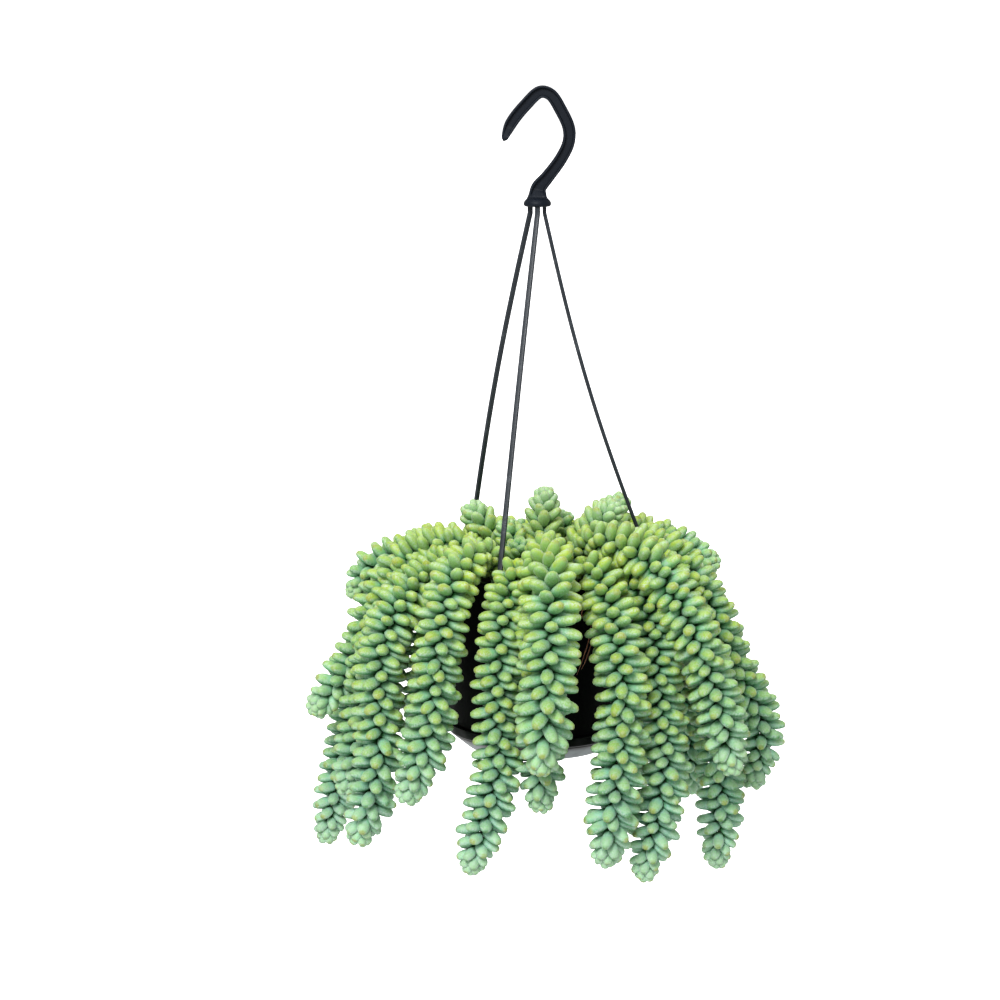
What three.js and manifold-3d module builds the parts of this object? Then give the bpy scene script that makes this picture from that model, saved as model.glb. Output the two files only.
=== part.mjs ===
// Potted burro's tail plant in a hanging pot: hook, three strands, pot, drip saucer, soil and 34 leafy stems.
// Millimetres, +Z up. The origin is the hook's seat, the inside of its crown, where it hangs on a rod.

import * as THREE from "three";
import { mergeVertices } from "three/addons/utils/BufferGeometryUtils.js";
import Module from "manifold-3d";

const wasm = await Module();
wasm.setup();

const GAP = 0.3;                                   // between pieces that touch
const RAD = Math.PI / 180;
const UP = new THREE.Vector3(0, 0, 1);

// ---------------------------------------------------------------- driving dimensions

const HOOK = { depth: 8, web: 3, border: 1.2, samples: 36 };
const HOOK_MIDLINE = [                             // x, z and width, from the tip to the collar
  [-21.9, -25.5, 3.4], [-17.5, -15.2, 7.2], [-9, -4.4, 7.4], [0.2, 3.7, 7.4], [6.2, 2.2, 7.4],
  [12.4, -6.8, 7.4], [17.4, -18, 7.4], [17.2, -26.5, 7.4], [12.6, -36.2, 7.4], [4.6, -47, 7.8],
  [-0.6, -53.5, 9.2], [-1.3, -58, 11], [-1.4, -61.5, 14.4],
];
const COLLAR = { x: -1.4, top: -59.6, bottom: -64.7, radius: 8.3, socketRadius: 5, socketDepth: 3.4, turn: 21 };

const STRAND = {
  width: 3, thickness: 2.2,
  shoulder: 5.6, shoulderThickness: 3.2, shoulderHeight: 8,
  neck: 3.2, neckThickness: 2,
  barb: 5.6, barbThickness: 2.4, barbHeight: 4,
};
const STRANDS = {                                  // azimuth, and how far the strand bows out halfway down
  front: { angle: -111, bow: 1.2 }, right: { angle: 9, bow: -4.8 }, back: { angle: 129, bow: 4 },
};

const RIM = -285;                                  // height of the pot's rim
const POT = {
  flangeRadius: 69.2, flangeThickness: 2.2, slotRadius: 67.1, slotWidth: 3.9, slotDepth: 2.7,
  topRadius: 64.8, footRadius: 55.2, wall: 1.8, beadHeight: -384.5, beadRadius: 55.9,
  chamferHeight: -386, bottom: -392.5, bottomRadius: 48.8, drains: 8, drainRadius: 2.4, drainCircle: 30,
};
const SAUCER = { top: -382, lipRadius: 57.9, slopeTop: -388.6, footRadius: 45, bottom: -398, wall: 1.7 };
const SOIL_TOP = RIM - 10;
const ROOT = { radius: 2.6, depth: 14, holeRadius: 3.4, neck: 3 };

// ---------------------------------------------------------------- the leafy stems

// Each stem: reach of its leaves, root [radius, azimuth], then points [radius, azimuth, height above the rim].
const STEMS = {
  tail_front_hero: [18.5, [28, -84], [[40, -85, 15], [60, -86, 14], [80, -86, 9], [99, -87, -6], [110, -88, -43],
    [104, -90, -102]]],
  tail_front_under: [16, [46, -97], [[67, -95, 8], [83, -91, -11], [83, -90, -68], [80, -90, -133]]],
  tail_front_left: [15, [47, -114], [[67, -105, 7], [84, -105, -15], [88, -107, -63], [88, -107, -108], [93, -117, -171]]],
  tail_left_front: [16, [40, -122], [[58, -124, 15], [84, -126, 8], [99, -125, -14], [105, -126, -50], [107, -128, -83],
    [115, -134, -127]]],
  tail_left_mid: [16, [46, -142], [[66, -145, 7], [86, -147, -2], [105, -145, -17], [115, -145, -41], [117, -145, -71],
    [117, -146, -107], [126, -151, -160]]],
  tail_left_low: [15, [47, -159], [[67, -159, 7], [88, -161, -9], [102, -162, -39], [111, -163, -78], [115, -163, -103],
    [124, -164, -137]]],
  tail_left_outer: [15.5, [30, -160], [[46, -165, 13], [68, -167, 12], [88, -167, 0], [102, -168, -24], [113, -169, -54],
    [141, -171, -89]]],
  tail_left_top: [14, [34, 166], [[46, 168, 10], [66, 169, 8], [86, 169, 2], [106, 169, -6], [119, 170, -25]]],
  tail_left_back: [14, [47, 155], [[67, 155, 7], [90, 159, -6], [108, 166, -48], [121, 170, -108], [137, 172, -185]]],
  tail_right_front: [17, [46, -66], [[66, -63, 8], [86, -62, -9], [101, -63, -38], [103, -62, -78], [101, -64, -118],
    [96, -66, -164]]],
  tail_right_mid: [15.5, [46, -46], [[66, -46, 7], [86, -44, -10], [97, -45, -41], [102, -45, -76], [104, -44, -106],
    [94, -48, -179]]],
  tail_right_over: [16, [24, -50], [[42, -46, 18], [68, -44, 20], [94, -43, 9], [116, -41, -20], [129, -37, -60],
    [138, -33, -111]]],
  tail_right_low: [15, [46, -27], [[66, -21, 7], [84, -17, -5], [98, -14, -38], [110, -11, -88], [115, -10, -143],
    [113, -10, -188]]],
  tail_right_outer: [14.5, [36, -18], [[52, -12, 14], [74, -10, 13], [92, -11, 0], [107, -10, -25], [121, -7, -61],
    [139, -4, -101], [134, -4, -140]]],
  tail_right_top: [14.5, [34, 28], [[46, 30, 13], [68, 30, 12], [94, 24, 4], [119, 17, -8]]],
  tail_right_back: [14, [47, 15], [[67, 16, 7], [88, 22, -5], [103, 28, -53], [112, 30, -108], [118, 30, -164]]],
  crown_left: [15, [24, 151], [[31, 152, 11], [48, 156, 33]]],
  crown_middle: [14, [3, 60], [[5, 64, 18], [9, 63, 46]]],
  crown_right: [15, [19, -6], [[29, -7, 14], [49, -9, 39]]],
  crown_front: [12, [14, -135], [[18, -135, 6], [24, -130, 17]]],
  crown_back: [12, [22, 68], [[28, 66, 9], [36, 60, 27]]],
  crown_right_outer: [14, [30, 52], [[41, 45, 9], [64, 31, 36]]],
  crown_far_right: [10, [42, 4], [[48, -2, 8], [55, 1, 24]]],
  crown_front_left: [12, [26, -112], [[30, -112, 8], [36, -110, 21]]],
  crown_centre_left: [12, [12, 190], [[16, 186, 11], [22, 182, 28]]],
  crown_back_left: [12, [21, 112], [[26, 114, 9], [32, 116, 22]]],
};

// The far side follows a rule: [azimuth, how far it hangs below the rim].
const BACK_INNER = [[50, 163], [76, 125], [102, 118], [137, 150]];
const BACK_OUTER = [[63, 105], [89, 98], [114, 102], [146, 110]];

for (const [azimuth, drop] of BACK_INNER) {
  STEMS[`tail_back_inner_${azimuth}`] =
    [14, [47, azimuth], [[67, azimuth, 7], [86, azimuth, -7], [98, azimuth, -53], [101, azimuth, -drop]]];
}
for (const [azimuth, drop] of BACK_OUTER) {
  STEMS[`tail_back_outer_${azimuth}`] =
    [13.5, [40, azimuth], [[67, azimuth, 7], [88, azimuth, 1], [109, azimuth, -28], [120, azimuth, -drop]]];
}

const LEAF = {
  perTurn: 5, rowPitch: 11.5, valley: 0.36, lean: 4, tipLean: 8,
  startSize: 0.5, growth: 60, tipSize: 0.36, tipLength: 36, shortest: 0.25, clearance: 1, rimClearance: 2.2,
};

/** A point at a radius and azimuth about the pot's axis, at a height above the rim. */
function polar(radius, azimuth, height) {
  return new THREE.Vector3(radius * Math.cos(azimuth * RAD), radius * Math.sin(azimuth * RAD), RIM + height);
}

/** A stem's centreline with frames that don't twist, read by the distance along it. */
class Stem {
  constructor(name, [reach, [rootRadius, rootAzimuth], points]) {
    this.name = name;
    this.reach = reach;
    this.root = polar(rootRadius, rootAzimuth, SOIL_TOP - RIM);
    const start = this.root.clone().setZ(SOIL_TOP + ROOT.neck);
    this.curve = new THREE.CatmullRomCurve3([start, ...points.map((p) => polar(...p))], false, "centripetal");
    this.curve.arcLengthDivisions = 400;
    this.length = this.curve.getLength();
    this.steps = Math.ceil(this.length / 2.5);
    this.samples = [];
    this.frames = [];
    let side = new THREE.Vector3(Math.sin(rootAzimuth * RAD), -Math.cos(rootAzimuth * RAD), 0);
    for (let i = 0; i <= this.steps; i++) {
      const u = i / this.steps;
      const tangent = this.curve.getTangentAt(u);
      side = side.clone().addScaledVector(tangent, -side.dot(tangent)).normalize();
      this.samples.push(this.curve.getPointAt(u));
      this.frames.push({ tangent, side, up: new THREE.Vector3().crossVectors(tangent, side) });
    }
  }

  /** The centreline point at a distance along the stem, straight on past its end. */
  at(distance) {
    const past = Math.max(0, distance - this.length);
    const point = this.curve.getPointAt(Math.min(1, distance / this.length));
    return point.addScaledVector(this.frames[this.steps].tangent, past);
  }

  /** The direction square to the stem at a distance along it and an angle around it. */
  outward(distance, angle) {
    const frame = this.frames[Math.min(this.steps, Math.round((distance / this.length) * this.steps))];
    return frame.side.clone().multiplyScalar(Math.cos(angle)).addScaledVector(frame.up, Math.sin(angle));
  }

  /** How far leaves reach out at a distance along the stem: small at the root and at the tip. */
  leafReach(distance) {
    const grown = Math.min(1, LEAF.startSize + distance / LEAF.growth);
    const left = Math.max(0, this.length - distance);
    const tapered = Math.min(1, LEAF.tipSize + (1 - LEAF.tipSize) * Math.sqrt(left / LEAF.tipLength));
    return this.reach * grown * tapered;
  }

  /** The distance from a point to the nearest sample of the centreline. */
  distanceTo(point) {
    let nearest = Infinity;
    for (const sample of this.samples) nearest = Math.min(nearest, sample.distanceToSquared(point));
    return Math.sqrt(nearest);
  }
}

const stems = Object.entries(STEMS).map(([name, data]) => new Stem(name, data));

// ---------------------------------------------------------------- keeping the leaves clear

/** A strand's direction out from the axis, its ends, and its bowed centreline with the direction that faces out from it. */
function strandPath({ angle, bow }) {
  const direction = new THREE.Vector3(Math.cos(angle * RAD), Math.sin(angle * RAD), 0);
  const across = new THREE.Vector3(-direction.y, direction.x, 0);
  const top = direction.clone().applyAxisAngle(UP, COLLAR.turn * RAD).multiplyScalar(COLLAR.socketRadius).setZ(COLLAR.bottom);
  top.x += COLLAR.x;
  const foot = direction.clone().multiplyScalar(POT.slotRadius).setZ(RIM + STRAND.shoulderHeight);
  const bend = top.clone().setZ(top.z - 4);
  const through = new THREE.Vector3().crossVectors(foot.clone().sub(bend), across).normalize();
  const slant = [0, 0.1, 0.22, 0.36, 0.5, 0.64, 0.78, 0.9, 0.97].map((share) => (
    bend.clone().lerp(foot, share).addScaledVector(through, bow * Math.sin(Math.PI * share))));
  return { direction, across, through, top, foot, slant };
}

const strandLines = Object.values(STRANDS).map((strand) => {
  const { top, foot, slant } = strandPath(strand);
  const stations = [top, ...slant, foot, foot.clone().setZ(RIM - 10)];
  return stations.slice(1).map((station, i) => new THREE.Line3(stations[i], station));
}).flat();

/** The outer radius of the pot and its saucer at a height. */
function potRadius(z) {
  if (z > RIM - 2 * POT.flangeThickness) return POT.flangeRadius;
  if (z < SAUCER.top + 2) return SAUCER.lipRadius;
  const share = (RIM - z) / (RIM - POT.chamferHeight);
  return THREE.MathUtils.lerp(POT.topRadius, POT.footRadius, share);
}

/** Whether a point is clear of the pot, soil and strands. */
function clearOfPot(point) {
  const radius = Math.hypot(point.x, point.y);
  const inside = radius < POT.topRadius - POT.wall - LEAF.clearance;
  const outside = radius > potRadius(point.z) + LEAF.clearance;
  const soilRoom = point.z - SOIL_TOP - 0.6;
  if (point.z < RIM + LEAF.rimClearance && !outside && !(inside && soilRoom > 0)) return false;
  const nearest = new THREE.Vector3();
  return strandLines.every((line) => line.closestPointToPoint(point, true, nearest).distanceTo(point) > 4.8);
}

/** Whether a point is nearer to its own stem than to any other, with room to spare. */
function isFree(point, stem) {
  if (!clearOfPot(point)) return false;
  const own = stem.distanceTo(point) + LEAF.clearance;
  return stems.every((other) => other === stem || other.distanceTo(point) > own);
}

/** A leaf lattice's valley point, drawn in until it is free. */
function valleyPoint(stem, distance, angle, radius) {
  const centre = stem.at(distance);
  const direction = stem.outward(distance, angle);
  for (let scale = 1; scale > LEAF.shortest; scale *= 0.85) {
    const point = centre.clone().addScaledVector(direction, radius * scale);
    if (isFree(point, stem)) return point;
  }
  return centre.addScaledVector(direction, radius * LEAF.shortest);
}

/** A leaf's tip over its four corners, drawn in until the whole leaf is free. */
function leafTip(stem, distance, angle, reach, corners) {
  const lean = LEAF.lean + LEAF.tipLean * (1 - reach / stem.reach);
  const base = corners[0].clone().add(corners[1]).multiplyScalar(0.5);
  const full = stem.at(distance + lean).addScaledVector(stem.outward(distance + lean, angle), reach);
  for (let scale = 1; scale > LEAF.shortest; scale *= 0.88) {
    const tip = base.clone().lerp(full, scale);
    const probes = [tip];
    for (const corner of corners) {
      probes.push(corner.clone().lerp(tip, 0.35), corner.clone().lerp(tip, 0.7));
    }
    if (probes.every((probe) => isFree(probe, stem))) return tip;
  }
  return base.lerp(full, LEAF.shortest * 0.4);
}

// ---------------------------------------------------------------- meshes

/** A geometry from a list of points and a list of triangles. */
function indexed(points, triangles) {
  const geometry = new THREE.BufferGeometry();
  geometry.setAttribute("position", new THREE.Float32BufferAttribute(points.flatMap((p) => [p.x, p.y, p.z]), 3));
  geometry.setIndex(triangles.flat());
  return geometry;
}

/** A leafy stem: a bare root in the soil, then a lattice with one pointed leaf raised on each diamond. */
function leafyStem(stem) {
  const count = LEAF.perTurn;
  const rows = Math.max(3, Math.round(stem.length / LEAF.rowPitch));
  const points = [];
  const triangles = [];
  const add = (point) => points.push(point) - 1;
  const angleOf = (row, k) => ((k + 0.5 * (row % 2)) * 2 * Math.PI) / count;

  const bottom = [...Array(count).keys()].map((k) => {
    const direction = stem.outward(0, angleOf(0, k)).setZ(0).normalize();
    return add(stem.root.clone().addScaledVector(direction, ROOT.radius).setZ(SOIL_TOP - ROOT.depth));
  });
  for (let k = 1; k < count - 1; k++) triangles.push([bottom[0], bottom[k + 1], bottom[k]]);

  const distanceOf = (row) => (row / rows) * stem.length;
  const lattice = [...Array(rows + 1).keys()].map((row) => [...Array(count).keys()].map((k) => {
    const distance = distanceOf(row);
    const radius = row === 0 ? ROOT.radius : stem.leafReach(distance) * LEAF.valley;
    return add(valleyPoint(stem, distance, angleOf(row, k), radius));
  }));
  for (let k = 0; k < count; k++) {
    const next = (k + 1) % count;
    triangles.push([bottom[k], bottom[next], lattice[0][next]], [bottom[k], lattice[0][next], lattice[0][k]]);
  }

  for (let row = 0; row <= rows; row++) {
    for (let k = 0; k < count; k++) {
      // Odd rows are half a step on, so an edge's neighbour in the next or last row shifts by one.
      const left = lattice[row][k];
      const right = lattice[row][(k + 1) % count];
      const across = row % 2 === 0 ? k : (k + 1) % count;
      const ahead = row < rows ? lattice[row + 1][across] : null;
      const behind = row > 0 ? lattice[row - 1][across] : null;
      if (row === 0) {
        triangles.push([left, right, ahead]);
      } else if (row === rows) {
        triangles.push([right, left, behind]);
      } else {
        const angle = angleOf(row, k + 0.5);
        const corners = [left, right, ahead, behind].map((i) => points[i]);
        const tip = add(leafTip(stem, distanceOf(row), angle, stem.leafReach(distanceOf(row)), corners));
        triangles.push([left, behind, tip], [behind, right, tip], [right, ahead, tip], [ahead, left, tip]);
      }
    }
  }
  const end = add(stem.at(stem.length + LEAF.lean));
  for (let k = 0; k < count; k++) triangles.push([lattice[rows][k], lattice[rows][(k + 1) % count], end]);
  return indexed(points, triangles);
}

/** A closed body through rings of points, capped flat at both ends. */
function loft(rings) {
  const count = rings[0].length;
  const triangles = [];
  for (let ring = 0; ring < rings.length - 1; ring++) {
    for (let k = 0; k < count; k++) {
      const [a, b] = [ring * count + k, ring * count + ((k + 1) % count)];
      triangles.push([a, b, b + count], [a, b + count, a + count]);
    }
  }
  const last = (rings.length - 1) * count;
  for (let k = 1; k < count - 1; k++) triangles.push([0, k + 1, k], [last, last + k, last + k + 1]);
  return indexed(rings.flat(), triangles);
}

/** A body of revolution about Z from a closed outline of [radius, height] points. */
function lathe(outline, segments) {
  const points = outline.map(([radius, height]) => new THREE.Vector2(radius, height));
  return new THREE.LatheGeometry(points, segments).rotateX(Math.PI / 2);
}

/** A flat XZ outline of points with a thickness along Y, centred on y = 0. */
function plate(outline, thickness) {
  const shape = new THREE.Shape(outline);
  const geometry = new THREE.ExtrudeGeometry(shape, { depth: thickness, bevelEnabled: false });
  return geometry.translate(0, 0, -thickness / 2).rotateX(Math.PI / 2);
}

function toSolid(geometry) {
  const bare = geometry.clone();
  bare.deleteAttribute("normal");
  bare.deleteAttribute("uv");
  const merged = mergeVertices(bare, 1e-4);
  const vertProperties = new Float32Array(merged.attributes.position.array);
  const triVerts = new Uint32Array(merged.index.array);
  return new wasm.Manifold(new wasm.Mesh({ numProp: 3, vertProperties, triVerts }));
}

function fromSolid(solid) {
  const { vertProperties, triVerts } = solid.getMesh();
  const geometry = new THREE.BufferGeometry();
  geometry.setAttribute("position", new THREE.Float32BufferAttribute(vertProperties, 3));
  geometry.setIndex(Array.from(triVerts));
  return geometry;
}

// ---------------------------------------------------------------- the hanger

/** The hook's flat outline around its midline, inset by a margin, between two shares of its length. */
function hookOutline(margin, from, to) {
  const midline = new THREE.CatmullRomCurve3(HOOK_MIDLINE.map(([x, z]) => new THREE.Vector3(x, 0, z)), false, "centripetal");
  const widths = new THREE.CatmullRomCurve3(HOOK_MIDLINE.map(([, , width], i) => new THREE.Vector3(i, width, 0)));
  const [left, right] = [[], []];
  for (let i = 0; i <= HOOK.samples; i++) {
    const t = THREE.MathUtils.lerp(from, to, i / HOOK.samples);
    const point = midline.getPoint(t);
    const tangent = midline.getTangent(t);
    const half = widths.getPoint(t).y / 2 - margin;
    left.push(new THREE.Vector2(point.x - tangent.z * half, point.z + tangent.x * half));
    right.push(new THREE.Vector2(point.x + tangent.z * half, point.z - tangent.x * half));
  }
  return [...left, ...right.reverse()];
}

/** The hanger's hook: an I-section band, with a round collar that holds the three strands. */
function hookBody() {
  let body = toSolid(plate(hookOutline(0, 0, 1), HOOK.depth));
  const pocketDepth = (HOOK.depth - HOOK.web) / 2;
  for (const side of [-1, 1]) {
    const pocket = plate(hookOutline(HOOK.border, 0.07, 0.95), pocketDepth + 1);
    pocket.translate(0, side * (HOOK.web / 2 + (pocketDepth + 1) / 2), 0);
    body = body.subtract(toSolid(pocket));
  }
  const { radius, top, bottom } = COLLAR;
  const collar = lathe([[0, bottom], [radius - 1.6, bottom], [radius - 0.5, bottom + 0.8], [radius, bottom + 2.2],
    [radius - 0.7, bottom + 3.8], [radius - 2.4, top], [0, top]], 28);
  body = body.add(toSolid(collar.translate(COLLAR.x, 0, 0)));
  for (const strand of Object.values(STRANDS)) {
    const socket = new THREE.BoxGeometry(STRAND.thickness + 2 * GAP, STRAND.width + 2 * GAP, 2 * COLLAR.socketDepth);
    const mouth = strandPath(strand).top;
    body = body.subtract(toSolid(socket.rotateZ(strand.angle * RAD).translate(mouth.x, mouth.y, mouth.z)));
  }
  return fromSolid(body);
}

/** An eight-sided ring, a rectangle with cut corners, in the plane of two directions. */
function ring(centre, across, through, width, thickness) {
  const [a, b] = [width / 2, thickness / 2];
  const cut = 0.3 * b;
  const corners = [[a, -b + cut], [a, b - cut], [a - cut, b], [-a + cut, b], [-a, b - cut], [-a, -b + cut], [-a + cut, -b], [a - cut, -b]];
  return corners.map(([u, v]) => centre.clone().addScaledVector(across, u).addScaledVector(through, v));
}

/** A strand: seated in its socket, down to a shoulder on the rim, a neck through the slot and a barb below. */
function strandBody(strand) {
  const { direction, across, through, top, foot, slant } = strandPath(strand);
  const level = (centre, width, thickness) => ring(centre, across, direction, width, thickness);
  const { width, thickness } = STRAND;
  const rings = [
    level(top.clone().setZ(top.z + COLLAR.socketDepth - GAP), width, thickness), level(top, width, thickness),
    ...slant.map((centre) => ring(centre, across, through, width, thickness)),
  ];
  const steps = [
    [STRAND.shoulderHeight - 1.5, STRAND.shoulder, STRAND.shoulderThickness],
    [GAP, STRAND.shoulder, STRAND.shoulderThickness],
    [GAP - 0.05, STRAND.neck, STRAND.neckThickness],
    [-POT.flangeThickness - GAP, STRAND.neck, STRAND.neckThickness],
    [-POT.flangeThickness - GAP - 0.05, STRAND.barb, STRAND.barbThickness],
    [-POT.flangeThickness - 1.5, STRAND.barb, STRAND.barbThickness],
    [-POT.flangeThickness - STRAND.barbHeight, STRAND.neck, STRAND.neckThickness],
  ];
  for (const [height, stepWidth, stepThickness] of steps) {
    rings.push(level(foot.clone().setZ(RIM + height), stepWidth, stepThickness));
  }
  return loft(rings);
}

// ---------------------------------------------------------------- the pot, saucer and soil

/** The pot: a tapered shell with a flange, a bead for the saucer, drain holes and three slots for the strands. */
function potBody() {
  const { flangeRadius, flangeThickness, topRadius, footRadius, wall, beadHeight, beadRadius } = POT;
  const { chamferHeight, bottom, bottomRadius } = POT;
  const outline = [
    [0, bottom], [bottomRadius, bottom], [footRadius, chamferHeight], [beadRadius, beadHeight], [footRadius + 0.2, beadHeight + 1.5],
    [topRadius, RIM - flangeThickness], [flangeRadius - 0.6, RIM - flangeThickness], [flangeRadius, RIM - flangeThickness + 0.6],
    [flangeRadius, RIM - 0.5], [flangeRadius - 0.5, RIM], [topRadius - wall, RIM],
    [footRadius - wall, chamferHeight + 0.5], [bottomRadius - 1.5, bottom + 1.9], [0, bottom + 1.9],
  ];
  let body = toSolid(lathe(outline, 48));
  for (const { angle } of Object.values(STRANDS)) {
    const slot = new THREE.BoxGeometry(POT.slotDepth, POT.slotWidth, 4 * flangeThickness);
    slot.translate(POT.slotRadius, 0, RIM).rotateZ(angle * RAD);
    body = body.subtract(toSolid(slot));
  }
  for (let i = 0; i < POT.drains; i++) {
    const drain = new THREE.CylinderGeometry(POT.drainRadius, POT.drainRadius, 8, 10).rotateX(Math.PI / 2);
    drain.translate(POT.drainCircle, 0, bottom).rotateZ((i * 2 * Math.PI) / POT.drains);
    body = body.subtract(toSolid(drain));
  }
  return fromSolid(body);
}

/** The drip saucer: a lip snapped over the pot's bead, and a sloping underside down to its foot. */
function saucerBody() {
  const { top, lipRadius, slopeTop, footRadius, bottom, wall } = SAUCER;
  return lathe([
    [0, bottom], [footRadius, bottom], [footRadius + 0.8, bottom + 0.6], [lipRadius - 1.6, slopeTop], [lipRadius, slopeTop + 2.4],
    [lipRadius, top - 0.8], [lipRadius - 0.6, top], [POT.beadRadius - 0.2, top], [POT.beadRadius - 0.2, top - 0.5],
    [POT.beadRadius + GAP + 0.1, POT.beadHeight + 0.8], [POT.beadRadius + GAP + 0.1, slopeTop + 1.6],
    [footRadius + 0.2, bottom + wall + 0.1], [0, bottom + wall + 0.1],
  ], 48);
}

/** The soil: it fills the pot to just under the rim, with a plain hole for each stem. */
function soilBody() {
  const wallAt = (z) => POT.topRadius - POT.wall
    - ((RIM - z) / (RIM - POT.chamferHeight)) * (POT.topRadius - POT.footRadius) - 0.5;
  const floor = POT.bottom + 1.9 + 2 * GAP;
  const outline = [
    [0, floor], [POT.bottomRadius - 2.6, floor], [wallAt(POT.chamferHeight + 2), POT.chamferHeight + 2],
    [wallAt(SOIL_TOP), SOIL_TOP], [0, SOIL_TOP],
  ];
  let body = toSolid(lathe(outline, 36));
  for (const stem of stems) {
    const hole = new THREE.CylinderGeometry(ROOT.holeRadius, ROOT.holeRadius, 2 * (ROOT.depth + GAP), 6).rotateX(Math.PI / 2);
    body = body.subtract(toSolid(hole.translate(stem.root.x, stem.root.y, SOIL_TOP)));
  }
  return fromSolid(body);
}

// ---------------------------------------------------------------- the scene graph

const materials = {
  hook: new THREE.MeshStandardMaterial({ color: 0x262e38, roughness: 0.55, metalness: 0 }),
  strand: new THREE.MeshStandardMaterial({ color: 0x5a6065, roughness: 0.45, metalness: 0 }),
  pot: new THREE.MeshStandardMaterial({ color: 0x0e0c0a, roughness: 0.4, metalness: 0 }),
  saucer: new THREE.MeshStandardMaterial({ color: 0x16181a, roughness: 0.3, metalness: 0 }),
  soil: new THREE.MeshStandardMaterial({ color: 0x2a1f17, roughness: 1, metalness: 0 }),
  leaf: new THREE.MeshStandardMaterial({ color: 0x7fa57f, roughness: 0.6, metalness: 0 }),
};

function piece(name, geometry, material) {
  geometry.computeVertexNormals();
  const mesh = new THREE.Mesh(geometry, material);
  mesh.name = name;
  return mesh;
}

const plant = new THREE.Group();
plant.add(piece("hanger_hook", hookBody(), materials.hook));
for (const [side, strand] of Object.entries(STRANDS)) {
  plant.add(piece(`hanger_strand_${side}`, strandBody(strand), materials.strand));
}
plant.add(piece("pot", potBody(), materials.pot));
plant.add(piece("saucer", saucerBody(), materials.saucer));
plant.add(piece("soil", soilBody(), materials.soil));
for (const stem of stems) {
  plant.add(piece(stem.name, leafyStem(stem), materials.leaf));
}

export default plant;
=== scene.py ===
"""Dresses a burro's tail plant in its hanging pot: leafy tails, crown sprigs, moulded hanger, pot, saucer and soil.

Metres, +Z up. The origin is the hook's seat, and the front of the plant faces -Y. The routes of the
stems repeat the ones in the part's source, in millimetres and degrees, and are turned into metres here.
"""

import logging
import math
from dataclasses import dataclass, field
from enum import Enum
from functools import reduce
from typing import Any, ClassVar

import bmesh
import bpy
import numpy as np
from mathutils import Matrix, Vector

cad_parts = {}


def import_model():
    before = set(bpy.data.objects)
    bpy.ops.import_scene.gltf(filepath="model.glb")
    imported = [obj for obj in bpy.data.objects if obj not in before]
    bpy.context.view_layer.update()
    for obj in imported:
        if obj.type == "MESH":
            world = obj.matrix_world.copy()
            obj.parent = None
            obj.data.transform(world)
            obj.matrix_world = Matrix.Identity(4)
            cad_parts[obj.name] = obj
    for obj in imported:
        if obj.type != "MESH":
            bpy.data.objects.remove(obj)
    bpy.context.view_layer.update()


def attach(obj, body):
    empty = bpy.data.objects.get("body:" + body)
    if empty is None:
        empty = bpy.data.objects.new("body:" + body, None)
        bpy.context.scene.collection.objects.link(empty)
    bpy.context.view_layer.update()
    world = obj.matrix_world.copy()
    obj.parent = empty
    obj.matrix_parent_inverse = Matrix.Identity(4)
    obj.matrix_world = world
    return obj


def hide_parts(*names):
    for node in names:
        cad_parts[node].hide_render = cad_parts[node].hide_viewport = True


LOG = logging.getLogger("burros_tail")
MM = 0.001
BODY = "root"
SEED = 20
UP = np.array([0.0, 0.0, 1.0])

RIM = -285.0 * MM
SOIL_TOP = RIM - 10.0 * MM
STEM_NECK = 3.0 * MM
COLLAR_X = -1.4 * MM
COLLAR_BOTTOM = -64.7 * MM
CREASE = 50.0  # Edges of the moulded pieces that bend by more degrees than this stay sharp.
WHITE = (1.0, 1.0, 1.0, 1.0)

Pair = tuple[float, float]
Triple = tuple[float, float, float]
Colour = tuple[float, float, float, float]
StemPlan = tuple[float, Pair, list[Triple]]
Socket = bpy.types.NodeSocket
Term = Socket | float
Tint = Socket | Colour


# ------------------------------------------------------------------ the stems' routes

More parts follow.
